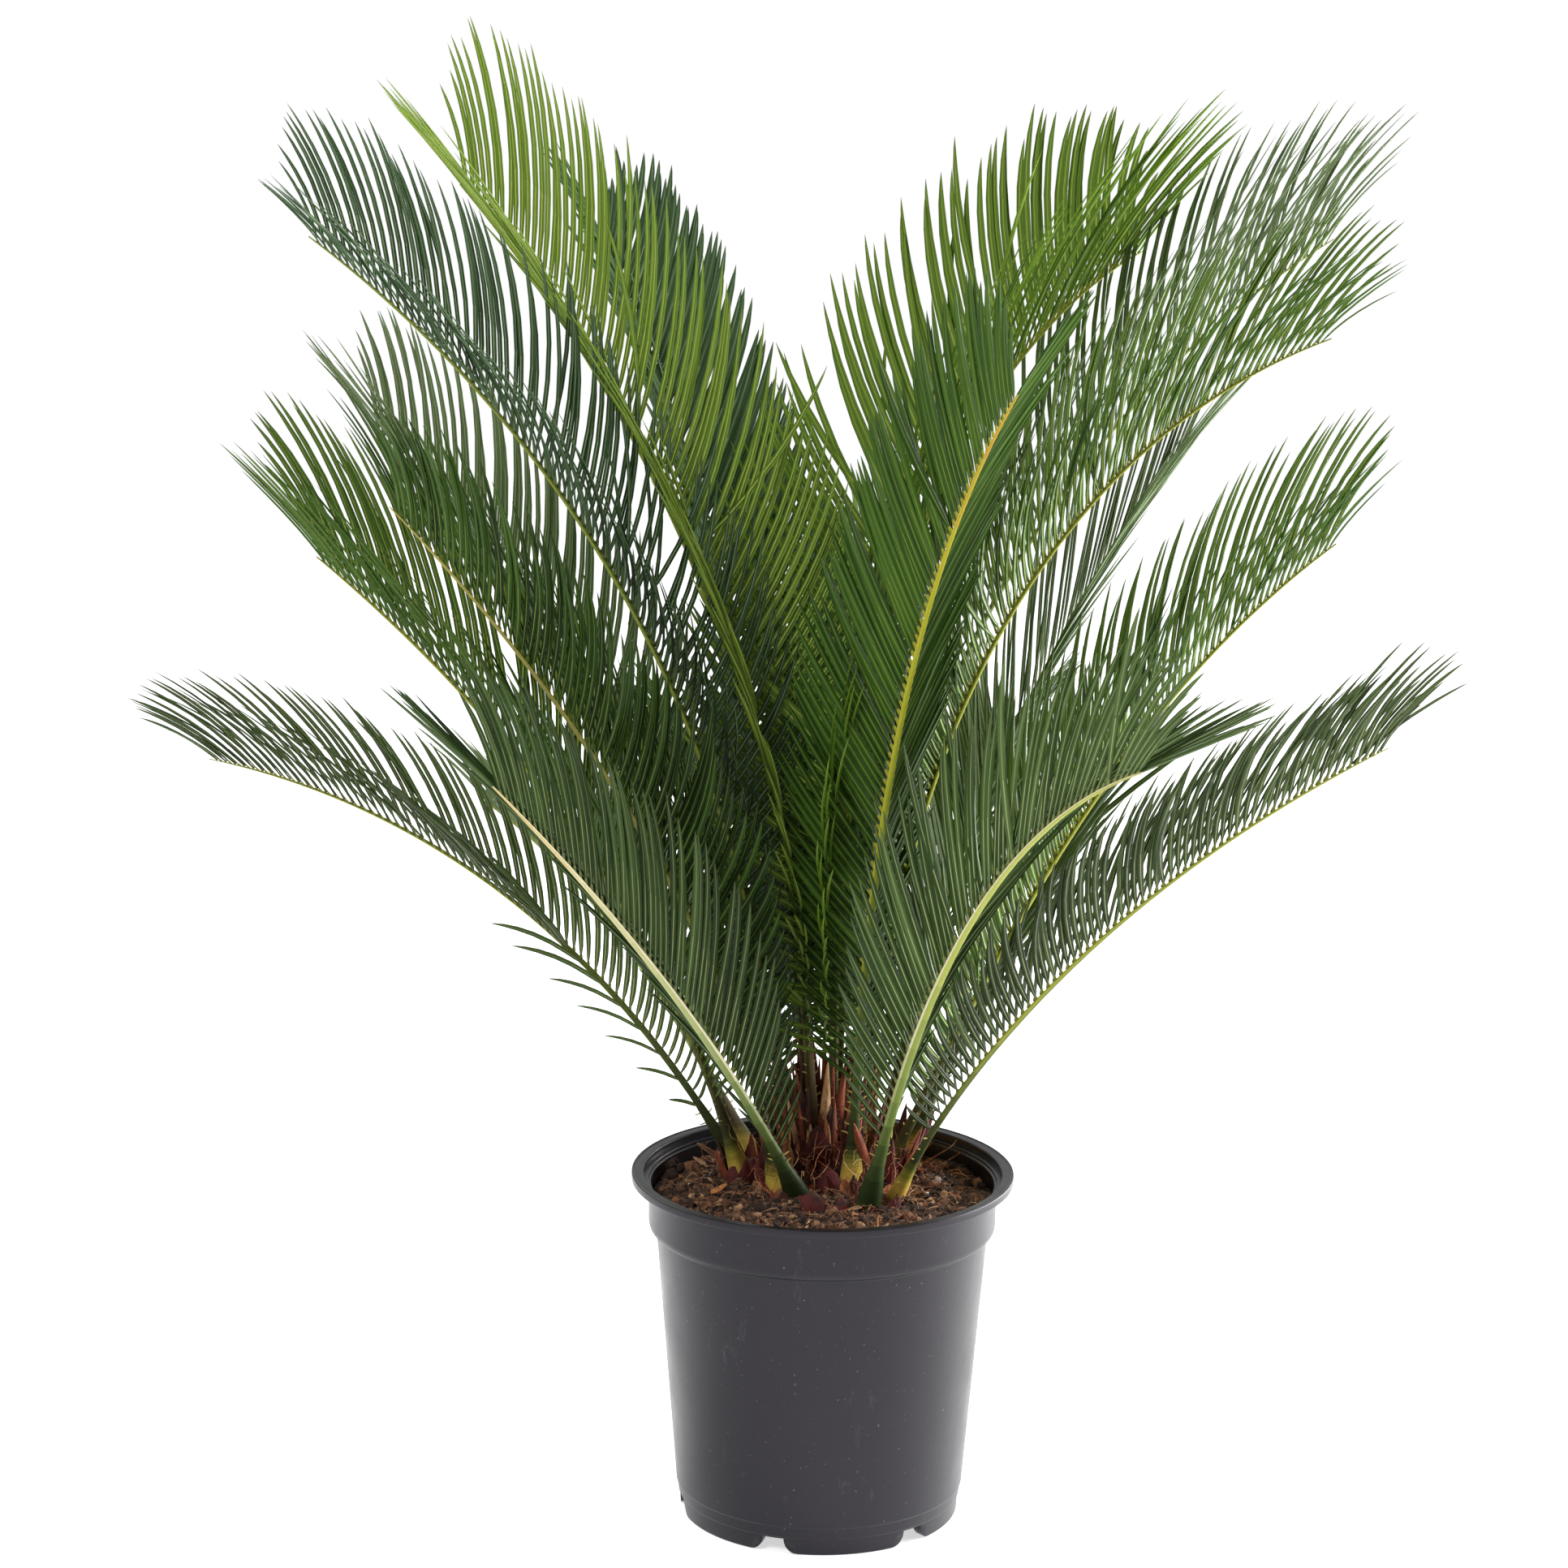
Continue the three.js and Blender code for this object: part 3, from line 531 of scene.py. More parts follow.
def soil_material():
    material, tree, shader = new_material("peat_soil")
    grain = noise_node(tree, 330, 6, 0.7)
    tone = ramp(tree, grain, [
        (0.3, srgb(26, 17, 12)), (0.5, srgb(66, 45, 33)), (0.66, srgb(118, 88, 66)),
    ])
    set_inputs(shader, {"Base Color": tone, "Roughness": 0.95})
    bump(tree, shader, grain, 0.8, 1.5 * MM)
    return material


# ---- pot
def rounded(profile, radius):
    """The profile with each inner corner rounded by a short curve."""
    points = [np.array(p) for p in profile]
    result = [points[0]]
    for before, corner, after in zip(points, points[1:], points[2:]):
        into, out = before - corner, after - corner
        reach = min(radius, 0.45 * np.linalg.norm(into), 0.45 * np.linalg.norm(out))
        start = corner + unit(into) * reach
        stop = corner + unit(out) * reach
        for share in np.linspace(0, 1, CORNER_STEPS + 1):
            result.append((1 - share) ** 2 * start + 2 * share * (1 - share) * corner + share ** 2 * stop)
    result.append(points[-1])
    return np.array(result)


def turned(profile, segments):
    """A profile from the axis, round and back to the axis, as one closed body."""
    turn = np.linspace(0, 2 * math.pi, segments, endpoint=False)
    circle = np.stack([np.cos(turn), np.sin(turn)], -1)
    radii = np.maximum(profile[:, 0], 0.5 * MM)
    flat = circle[None] * radii[:, None, None]
    heights = np.broadcast_to(profile[:, 1][:, None, None], (*flat.shape[:2], 1))
    return np.concatenate([flat, heights], -1)[None]


def inner_radius(height):
    """Radius of the wall's inner face."""
    slope = (WALL_TOP_RADIUS - BAND_RADIUS) / (WALL_TOP - BAND_TOP)
    return BAND_RADIUS + slope * (height - BAND_TOP) - WALL


def pot_profile():
    """Radius and height of each corner, from the pad under the middle, round the rim, to the floor."""
    collar_inner = COLLAR_RADIUS - WALL
    return [
        (0, 0),
        (PAD_RADIUS, 0),
        (PAD_RADIUS + PAD_DRAFT, FLOOR_UNDERSIDE),
        (SKIRT_RADIUS, FLOOR_UNDERSIDE),
        (SKIRT_RADIUS, 0),
        (BASE_RADIUS, 0),
        (BASE_RADIUS + RING_STEP, FOOT_TOP),
        (BASE_RADIUS + 2 * RING_STEP, FOOT_TOP + RING_STEP),
        (BAND_RADIUS - RING_STEP, BAND_TOP - RING_STEP),
        (BAND_RADIUS, BAND_TOP),
        (WALL_TOP_RADIUS, WALL_TOP),
        (COLLAR_RADIUS - RING_STEP, COLLAR_FOOT - COLLAR_ROUND),
        (COLLAR_RADIUS, COLLAR_FOOT),
        (COLLAR_RADIUS, POT_HEIGHT - RIM_DEPTH),
        (RIM_RADIUS, POT_HEIGHT - RIM_DEPTH),
        (RIM_RADIUS, POT_HEIGHT),
        (RIM_RADIUS - 2 * RIM_LIP, POT_HEIGHT),
        (RIM_RADIUS - 4 * RIM_LIP, POT_HEIGHT - RIM_LIP),
        (RIM_INNER_RADIUS, POT_HEIGHT - RIM_LIP),
        (RIM_INNER_RADIUS, POT_HEIGHT - RIM_DEPTH - INNER_STEP),
        (collar_inner, POT_HEIGHT - RIM_DEPTH - 2 * INNER_STEP),
        (collar_inner, COLLAR_FOOT),
        (inner_radius(WALL_TOP), WALL_TOP),
        (inner_radius(FLOOR_TOP), FLOOR_TOP),
        (0, FLOOR_TOP),
    ]


def prism(outline, start, stop, turn):
    """An outline across x and z, drawn out along y from start to stop and turned about the axis."""
    shape = bmesh.new()
    corners = [shape.verts.new((x, start, z)) for x, z in outline]
    face = shape.faces.new(corners)
    grown = bmesh.ops.extrude_face_region(shape, geom=[face])
    moved = [item for item in grown["geom"] if isinstance(item, bmesh.types.BMVert)]
    bmesh.ops.translate(shape, verts=moved, vec=(0, stop - start, 0))
    bmesh.ops.rotate(shape, verts=shape.verts, cent=(0, 0, 0), matrix=Matrix.Rotation(turn, 3, "Z"))
    bmesh.ops.recalc_face_normals(shape, faces=shape.faces)
    return shape


def notch_outline():
    """Half a notch, flared at the ground, and its mirror image."""
    flare = NOTCH_HALF_WIDTH + NOTCH_CORNER
    arc = np.linspace(-math.pi / 2, 0, NOTCH_ARC_STEPS)
    left = [(NOTCH_CORNER * math.cos(a) - flare, NOTCH_CORNER * (1 + math.sin(a))) for a in arc]
    left = [(-flare, -MM), *left, (-NOTCH_HALF_WIDTH, FLOOR_UNDERSIDE)]
    return left + [(-x, z) for x, z in reversed(left)]


def pot_cutters():
    """Six foot notches and six drain holes, as one object to cut the pot with."""
    joined = bpy.data.meshes.new("pot_cuts")
    total = bmesh.new()
    hole_turns = np.linspace(0, 2 * math.pi, DRAIN_SIDES, endpoint=False)
    for index in range(FOOT_NOTCHES):
        turn = math.radians(FIRST_NOTCH + index * 360 / FOOT_NOTCHES)
        notch = prism(notch_outline(), -RIM_RADIUS, MM - SKIRT_RADIUS, turn)
        scratch = bpy.data.meshes.new("cut")
        notch.to_mesh(scratch)
        total.from_mesh(scratch)
        middle = Vector((DRAIN_RING * math.sin(turn), -DRAIN_RING * math.cos(turn), 0))
        ring = [middle + DRAIN_RADIUS * Vector((math.cos(a), math.sin(a), 0)) for a in hole_turns]
        low = [total.verts.new(p + Vector((0, 0, FLOOR_UNDERSIDE - MM))) for p in ring]
        high = [total.verts.new(p + Vector((0, 0, FLOOR_TOP + MM))) for p in ring]
        total.faces.new(low[::-1])
        total.faces.new(high)
        for side in range(DRAIN_SIDES):
            after = (side + 1) % DRAIN_SIDES
            total.faces.new([low[side], low[after], high[after], high[side]])
    total.to_mesh(joined)
    return add_object("pot_cuts", joined)


def make_pot():
    bag = Bag()
    bag.add(turned(rounded(pot_profile(), EDGE_ROUND), POT_SEGMENTS), 0)
    pot = bag.piece("pot_shell", [pot_material()], 40, ["pot"], "pot")
    cutter = pot_cutters()
    cut = pot.modifiers.new("feet", "BOOLEAN")
    cut.operation = "DIFFERENCE"
    cut.solver = "EXACT"
    cut.object = cutter
    depsgraph = bpy.context.evaluated_depsgraph_get()
    pot_mesh = bpy.data.meshes.new_from_object(pot.evaluated_get(depsgraph))
    pot.modifiers.clear()
    pot.data = pot_mesh
    bpy.data.objects.remove(cutter)


# ---- soil and what lies on it
def soil_height(x, y):
    """Height of the soil's top, with the same mound and lumps as the solid and finer crumbs."""
    across, along, slant = SOIL_WAVES
    edge = COLLAR_RADIUS - WALL
    mound = SOIL_MOUND * (1 - (x * x + y * y) / edge ** 2)
    lump = math.sin(x / across) * math.cos(y / along) + math.sin((x + 2 * y) / slant) / 2
    coarse = noise.noise(Vector((x, y, 0)) * COARSE_CRUMBS[0])
    fine = noise.noise(Vector((x, y, 0.3)) * FINE_CRUMBS[0])
    return SOIL_TOP + mound + SOIL_LUMP * lump + COARSE_CRUMBS[1] * coarse + FINE_CRUMBS[1] * fine


def make_soil():
    """The filling, down to the pot's floor."""
    edge = COLLAR_RADIUS - WALL - SOIL_GAP
    profile = [
        (0, FLOOR_TOP + SOIL_GAP),
        (inner_radius(FLOOR_TOP) - 2 * SOIL_GAP, FLOOR_TOP + SOIL_GAP),
        (inner_radius(WALL_TOP) - SOIL_GAP, WALL_TOP),
        (edge, COLLAR_FOOT),
    ]
    profile += [(edge * share, SOIL_TOP) for share in np.linspace(1, 0, SOIL_RINGS)]
    rings = turned(np.array(profile), SOIL_SEGMENTS)
    top = rings[0, 4:].reshape(-1, 3)
    top[:, 2] = [soil_height(x, y) for x, y, _ in top]
    rings[0, 4:] = top.reshape(rings[0, 4:].shape)
    bag = Bag()
    bag.add(rings, 0)
    bag.piece("soil_body", [soil_material()], 180, ["potting_soil"], "soil")


def on_soil(count, rng, reach):
    """Random places on the soil, even over its area: (count, 3)."""
    turn = rng.uniform(0, 2 * math.pi, count)
    radius = reach * np.sqrt(rng.uniform(0, 1, count))
    x, y = radius * np.cos(turn), radius * np.sin(turn)
    return np.stack([x, y, [soil_height(*place) for place in zip(x, y)]], -1)


def round_section(sides):
    """A circle of radius 1, as a section."""
    turn = np.linspace(0, 2 * math.pi, sides, endpoint=False)
    return np.stack([np.cos(turn), np.sin(turn)], -1)


def random_directions(count, rng, rise):
    """Directions spread round the compass, up or down by about rise degrees."""
    turn = rng.uniform(0, 2 * math.pi, count)
    lift = np.radians(rng.normal(0, rise, count))
    flat = np.cos(lift)
    return np.stack([flat * np.cos(turn), flat * np.sin(turn), np.sin(lift)], -1)


def bearings(headings, rises):
    """Directions by heading from the front towards +X and by rise, both in degrees."""
    turn, lift = np.radians(headings), np.radians(rises)
    return np.stack([np.sin(turn) * np.cos(lift), -np.cos(turn) * np.cos(lift), np.sin(lift)], -1)


def kept_inside(places, directions, lengths, reach):
    """Turns a bit of litter round if its end would go through the pot's wall."""
    ends = np.linalg.norm((places + directions * lengths[:, None])[:, :2], axis=1)
    return np.where((ends > reach)[:, None], directions * [-1, -1, 1], directions)


def above_soil(rows):
    """Places from rows of x, y and height above the soil in millimetres."""
    return np.array([(x * MM, y * MM, soil_height(x * MM, y * MM) + rise * MM) for x, y, rise in rows])


CLOD_SQUASH = 0.75
CLOD_HEIGHTS = np.array([-0.95, -0.5, 0.1, 0.6, 0.95])
CLOD_SPANS = np.array([0.3, 0.85, 1, 0.75, 0.25])


def lumps(bag, places, sizes, slots, rng):
    """Small angular clods: rings from pole to pole with each corner pushed in or out."""
    count = len(places)
    axis = random_directions(count, rng, 40)
    facing = unit(np.cross(axis, unit(rng.normal(size=(count, 3)))))
    across = np.cross(facing, axis)
    centres = places[:, None] + axis[:, None] * (CLOD_HEIGHTS * sizes[:, None] * CLOD_SQUASH)[..., None]
    across, facing = (np.broadcast_to(each[:, None], centres.shape) for each in (across, facing))
    widths = CLOD_SPANS * sizes[:, None]
    rings = sweep(centres, across, facing, widths, widths, round_section(5))
    push = rng.uniform(0.72, 1.25, rings.shape[:3])
    rings = centres[:, :, None] + (rings - centres[:, :, None]) * push[..., None]
    bag.add(rings, slots[:, None, None])


def threads(bag, roots, directions, lengths, radii, slots, rng, wave=0.25, rings=6, sides=4):
    """Thin bent fibres, twigs or spines."""
    count = len(roots)
    share = np.linspace(0, 1, rings)
    bend = rng.normal(0, wave, (count, 2, 3))
    middle = np.sin(share * math.pi)[None, :, None]
    curl = np.sin(share * 2 * math.pi)[None, :, None]
    straight = directions[:, None] * share[None, :, None]
    shape = straight + bend[:, :1] * middle + 0.5 * bend[:, 1:] * curl
    centres = roots[:, None] + shape * lengths[:, None, None]
    across, facing = axes_along(centres, UP + np.array([0.13, 0.07, 0]))
    taper = np.interp(share, [0, 0.8, 1], [1, 0.8, 0.35])
    widths = radii[:, None] * taper
    bag.add(sweep(centres, across, facing, widths, widths, round_section(sides)), slots[:, None, None])


CHIP_RINGS = np.array([0, 0.12, 0.5, 0.85, 1])
CHIP_OUTLINE = np.array([0.35, 0.8, 1, 0.7, 0.25])
CHIP_SECTION = np.array([(1, -0.5), (0.9, 0.5), (0, 0.75), (-0.9, 0.45), (-1, -0.5), (0, -0.4)])


def chips(bag, places, direction, lengths, widths, slots, rng):
    """Flat splinters of bark that lie on the soil."""
    count = len(places)
    share = CHIP_RINGS
    bow = rng.normal(0, 0.08, count)
    lift = (np.sin(share * math.pi)[None] * bow[:, None])[..., None] * UP
    shape = direction[:, None] * (share - 0.5)[None, :, None] + lift
    centres = places[:, None] + shape * lengths[:, None, None]
    tilt = UP + 0.35 * rng.normal(size=(count, 1, 3))
    across, facing = axes_along(centres, tilt)
    spans = widths[:, None] * (CHIP_OUTLINE * rng.uniform(0.8, 1.15, (count, 5)))
    depths = 0.3 * widths[:, None] * np.ones(5)
    bag.add(sweep(centres, across, facing, spans, depths, CHIP_SECTION), slots[:, None, None])


def make_soil_litter():
    """Clods and white grains, fibres and twigs, and bark chips: most strewn, some at set places."""
    rng = np.random.default_rng(SOIL_SEED)
    tints = [fibrous_material(*tint) for tint in SOIL_TINTS]
    reach = COLLAR_RADIUS - WALL - 3 * MM
    clods = Bag()
    places = on_soil(CLODS, rng, reach)
    sizes = np.exp(rng.normal(math.log(CLOD_SIZE), CLOD_SPREAD, CLODS))
    sizes = np.minimum(sizes, LARGEST_CLOD) * MM
    lumps(clods, places, sizes, rng.choice(4, CLODS, p=[0.46, 0.36, 0.13, 0.05]), rng)
    for rows, tint in ((np.array(PERLITE), PERLITE_TINT), (np.array(WALL_CLUMP), 0)):
        lumps(clods, above_soil(rows[:, :3]), rows[:, 3] * MM, np.full(len(rows), tint), rng)
    clods.piece("soil_clods", tints, 35, ["potting_soil"], "soil")

    fibres = Bag()
    places = on_soil(FIBRES, rng, reach - 4 * MM) + UP * 0.8 * MM
    lengths = rng.uniform(5, 17, FIBRES) * MM
    directions = kept_inside(places, random_directions(FIBRES, rng, 16), lengths, reach)
    thickness = rng.uniform(0.18, 0.42, FIBRES) * MM
    slots = rng.choice(5, FIBRES, p=[0.15, 0.25, 0.3, 0.22, 0.08])
    threads(fibres, places, directions, lengths, thickness, slots, rng)
    twigs = np.array(TWIGS)
    threads(
        fibres, above_soil(twigs[:, :3]), bearings(twigs[:, 4], twigs[:, 5]), twigs[:, 3] * MM,
        np.full(len(twigs), 0.6 * MM), np.full(len(twigs), 2), rng, 0.06,
    )
    fibres.piece("soil_fibres", tints, 60, ["potting_soil"], "soil")

    bark = Bag()
    places = on_soil(CHIPS, rng, reach - 6 * MM) + UP * 1.2 * MM
    lengths = rng.uniform(3, 11, CHIPS) * MM
    directions = kept_inside(places, random_directions(CHIPS, rng, 18), lengths, reach)
    widths = lengths * rng.uniform(0.12, 0.3, CHIPS)
    slots = rng.choice([1, 2, 3, 4], CHIPS, p=[0.42, 0.34, 0.18, 0.06])
    chips(bark, places, directions, lengths, widths, slots, rng)
    laid = np.array(LAID_CHIPS)
    chips(
        bark, above_soil(laid[:, :3]), bearings(laid[:, 5], laid[:, 6]),
        laid[:, 3] * MM, laid[:, 4] * MM, laid[:, 7].astype(int), rng,
    )
    bark.piece("soil_bark_chips", tints, 35, ["potting_soil"], "soil")


# ---- stems and their scales
def make_stems():
    """Swollen stems with a rough, ringed skin."""
    bag = Bag()
    polar = np.linspace(STEM_POLE, math.pi - STEM_POLE, STEM_RINGS)
    for x, y, radius, top in [HEART, *OFFSETS]:
        depth = (top - STEM_FOOT) / 2
        profile = np.stack([radius * np.sin(polar), STEM_FOOT + depth * (1 - np.cos(polar))], -1)
        rings = turned(profile, STEM_SIDES)
        flat = rings.reshape(-1, 3)
        rough = [1 + sum(part * noise.noise(Vector(p) * scale) for part, scale in BARK_RELIEF) for p in flat]
        flat[:, :2] *= np.array(rough)[:, None]
        flat[:, :2] += (x, y)
        bag.add(flat.reshape(rings.shape), 0)
    bark = fibrous_material("stem_bark", (126, 78, 50), (52, 27, 19), 260)
    bag.piece("stems", [bark], 180, ["caudex"], "caudex")


SCALE_RINGS = np.array([0, 0.12, 0.3, 0.5, 0.7, 0.86, 0.96, 1])
SCALE_WIDTHS = np.array([0.85, 1, 0.95, 0.78, 0.55, 0.32, 0.13, 0.03])
BULB_WIDTHS = np.array([0.7, 0.95, 1.05, 1, 0.82, 0.55, 0.25, 0.04])
# a curved papery plate: the outer face bulges, the inner face follows it a little behind
SCALE_SECTION = np.array([
    (1, -0.35), (0.55, 0.3), (0, 0.5), (-0.55, 0.3), (-1, -0.35), (-0.5, 0.08), (0, 0.28), (0.5, 0.08),
])


def scale_leaves(bag, roots, headings, leans, curls, lengths, widths, slots, rng, outline=SCALE_WIDTHS):
    """Pointed scales that rise by lean degrees and turn outwards by curl degrees over their length."""
    middles = (SCALE_RINGS[1:] + SCALE_RINGS[:-1]) / 2
    steps = np.diff(SCALE_RINGS)
    rise = np.radians(leans[:, None] - curls[:, None] * (middles - 0.3))
    direction = headings[:, None] * np.cos(rise)[..., None] + UP * np.sin(rise)[..., None]
    walk = np.cumsum(direction * (steps * lengths[:, None])[..., None], axis=1)
    centres = np.concatenate([roots[:, None], roots[:, None] + walk], axis=1)
    side = np.cross(UP, headings)
    sway = rng.normal(0, 0.05, len(roots))[:, None, None] * (SCALE_RINGS ** 2)[None, :, None]
    centres = centres + side[:, None] * sway * lengths[:, None, None]
    turned_face = headings + side * rng.normal(0, 0.25, (len(roots), 1))
    across, facing = axes_along(centres, turned_face[:, None])
    spans = widths[:, None] / 2 * outline * rng.uniform(0.85, 1.1, (len(roots), len(SCALE_RINGS)))
    bag.add(sweep(centres, across, facing, spans, spans * 0.75 + 0.3 * MM, SCALE_SECTION), slots)


def ring_of_scales(bag, centre, radius, count, lengths, widths, leans, curls, palette, rng):
    """Scales round a stem. The lowest part of most is crimson."""
    turn = np.linspace(0, 2 * math.pi, count, endpoint=False) + rng.uniform(0, 0.35, count)
    headings = compass(turn)
    reach = radius * rng.uniform(0.86, 1.08, count)
    foot = np.array([centre[0], centre[1], SOIL_TOP - 5 * MM])
    roots = foot + headings * reach[:, None]
    tint = rng.choice(palette, count)
    slots = np.repeat(tint[:, None], len(SCALE_RINGS) - 1, 1)
    slots[:, :2] = np.where(rng.uniform(size=count) < 0.6, CRIMSON, tint)[:, None]
    scale_leaves(
        bag, roots, headings, rng.uniform(*leans, count), rng.uniform(*curls, count),
        rng.uniform(*lengths, count) * MM, rng.uniform(*widths, count) * MM, slots[:, :, None], rng,
    )


def make_scale_leaves(fronds):
    """Dry scales round the stems and the fronds' feet, fat crimson ones, and fibres between them."""
    rng = np.random.default_rng(SCALE_SEED)
    tints = [fibrous_material(*tint) for tint in SCALE_TINTS]
    bag = Bag()
    for radius, count, low, high in HEART_SCALES:
        ring_of_scales(
            bag, HEART, radius * MM, count, (low, high), (5, 12), (78, 92), (-8, 20),
            [RUST, RUST, RUST, TAN, DARK, DARK, STRAW], rng,
        )
    for (x, y, radius, _), lengths in zip(OFFSETS, OFFSET_SCALES):
        ring_of_scales(
            bag, (x, y), radius * 0.95, OFFSET_RING, lengths, (9, 15), (60, 88), (-16, 26),
            [RUST, DARK, CRIMSON, CRIMSON, TAN], rng,
        )
    for frond in fronds:
        if frond.foot_y > LAST_SHEATHED_Y:
            continue
        ring_of_scales(
            bag, (frond.foot_x, frond.foot_y), 8 * MM, FOOT_RING, (7, 17), (6, 10), (66, 88), (-12, 24),
            [RUST, DARK, CRIMSON, TAN], rng,
        )
    bulbs = np.array(BULBS)
    roots = np.stack([bulbs[:, 0] * MM, bulbs[:, 1] * MM, SOIL_TOP + bulbs[:, 2] * MM], -1)
    slots = np.where(rng.uniform(size=(len(bulbs), len(SCALE_RINGS) - 1, 1)) < 0.12, DARK, CRIMSON)
    flat = np.zeros(len(bulbs))
    scale_leaves(
        bag, roots, bearings(bulbs[:, 3], flat), flat + BULB_LEAN, flat + BULB_CURL,
        bulbs[:, 4] * MM, bulbs[:, 5] * MM, slots, rng, BULB_WIDTHS,
    )
    nodes = [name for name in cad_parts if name.startswith("scale_leaf")]
    bag.piece("papery_scales", tints, 50, nodes, "scale_leaf")

    fluff = Bag()
    count = CROWN_FIBRES
    for x, y, radius, _ in [HEART] * 5 + OFFSETS:
        turn = rng.uniform(0, 2 * math.pi, count)
        headings = compass(turn)
        rise = rng.uniform(0, 0.05, (count, 1)) * (radius / HEART[2])
        roots = np.array([x, y, SOIL_TOP]) + headings * radius * 1.05 + UP * rise
        lean = headings * rng.uniform(0.1, 0.9, (count, 1))
        directions = unit(lean + UP + 0.5 * rng.normal(size=(count, 3)))
        threads(
            fluff, roots, directions, rng.uniform(8, 24, count) * MM,
            rng.uniform(0.12, 0.28, count) * MM, rng.choice([0, 1, 2, 4], count), rng, 0.22,
        )
    fluff.piece("crown_fibres", tints, 60, nodes, "scale_leaf")


# ---- fronds
class Frond:
    """A frond's midrib and the axes along it, by the rule of the solid that it replaces."""

    def __init__(self, name, foot_x, foot_y, azimuth, sweep_turn, rise, end, bend, length, *leaves):
        self.name = name
        self.foot_x, self.foot_y = foot_x * MM, foot_y * MM
        self.azimuth, self.sweep_turn = azimuth, sweep_turn
        self.rise, self.end, self.bend = rise, end, bend
        self.length = length * MM
        self.roll, self.twist, self.leaf, self.width, self.keel, self.spread, self.look = leaves
        foot = np.array([self.foot_x, self.foot_y, FOOT_HEIGHT])
        middles = (np.arange(MIDRIB_STEPS) + 0.5) / MIDRIB_STEPS
        steps = self.axes(middles)[0] * self.length / MIDRIB_STEPS
        self.points = np.vstack([foot, foot + np.cumsum(steps, axis=0)])

    def axes(self, shares):
        """Tangent, blade normal and blade side at shares of the length."""
        t = np.maximum(shares, 0)
        elevation = np.radians(self.rise + (self.end - self.rise) * t ** self.bend)
        heading = compass(np.radians(self.azimuth + self.sweep_turn * t))
        roll = np.radians(self.roll + self.twist * t)[..., None]
        level, climb = np.cos(elevation)[..., None], np.sin(elevation)[..., None]
        tangent = heading * level + UP * climb
        flat_normal = UP * level - heading * climb
        flat_side = np.cross(tangent, flat_normal)
        normal = np.cos(roll) * flat_normal - np.sin(roll) * flat_side
        side = np.cos(roll) * flat_side + np.sin(roll) * flat_normal
        return tangent, normal, side

    def at(self, shares):
        """Points of the midrib. Below share 0 it runs straight back into the soil."""
        knots = np.linspace(0, 1, MIDRIB_STEPS + 1)
        place = np.stack([np.interp(shares, knots, self.points[:, axis]) for axis in range(3)], -1)
        back = self.axes(np.zeros(1))[0] * self.length
        return place + np.minimum(shares, 0)[..., None] * back

    def radius(self, shares):
        from_foot = np.maximum(shares, 0) * self.length
        swelling = np.maximum(np.interp(from_foot, *FOOT_RADII) - FOOT_RADII[1][-1], 0)
        return swelling + np.interp(shares, *RIB_RADII) * THIN_RIBS.get(self.name, 1)


def midrib_tree(fronds):
    """All midribs as points to search, and the frond that each point belongs to."""
    points = np.concatenate([frond.at(np.linspace(0, 1, MIDRIB_SAMPLES)) for frond in fronds])
    tree = kdtree.KDTree(len(points))
    for number, point in enumerate(points):
        tree.insert(point, number)
    tree.balance()
    return tree, np.arange(len(points)) // MIDRIB_SAMPLES


def is_clear(centre_line, own, tree, owners):
    """True if a leaflet's centre line passes no other frond's midrib closely."""
    return not any(
        owners[number] != own
        for point in centre_line[2:]
        for _, number, _ in tree.find_range(point, MIDRIB_CLEARANCE)
    )


def leaflet_lines(frond, row, shares, angles, keels, lengths, droops, bends):
    """Centre lines of leaflets that leave the midrib at an angle, bend to its tip and arch down."""
    tangent, normal, side = (axis[:, None] for axis in frond.axes(shares))
    middles = (LEAFLET_RINGS[1:] + LEAFLET_RINGS[:-1]) / 2
    lift = np.radians(keels[:, None] + LEAFLET_ARCH * (0.5 - middles))[..., None]
    outward = np.cos(lift) * row * side + np.sin(lift) * normal
    turn = np.radians(angles[:, None] + bends[:, None] * (0.5 - middles))[..., None]
    direction = np.cos(turn) * tangent + np.sin(turn) * outward
    walk = np.cumsum(direction * (np.diff(LEAFLET_RINGS) * lengths[:, None])[..., None], axis=1)
    radius = frond.radius(shares)[:, None]
    roots = frond.at(shares) + (row * side[:, 0] * ROOT_OUT + normal[:, 0] * ROOT_UP) * radius
    walk = np.concatenate([np.zeros((len(shares), 1, 3)), walk], axis=1)
    sag = (droops * lengths)[:, None] * LEAFLET_RINGS ** 2
    facing = unit(np.cross(tangent[:, 0], outward[:, 4])) * row
    return roots[:, None] + walk - facing[:, None] * sag[..., None], facing


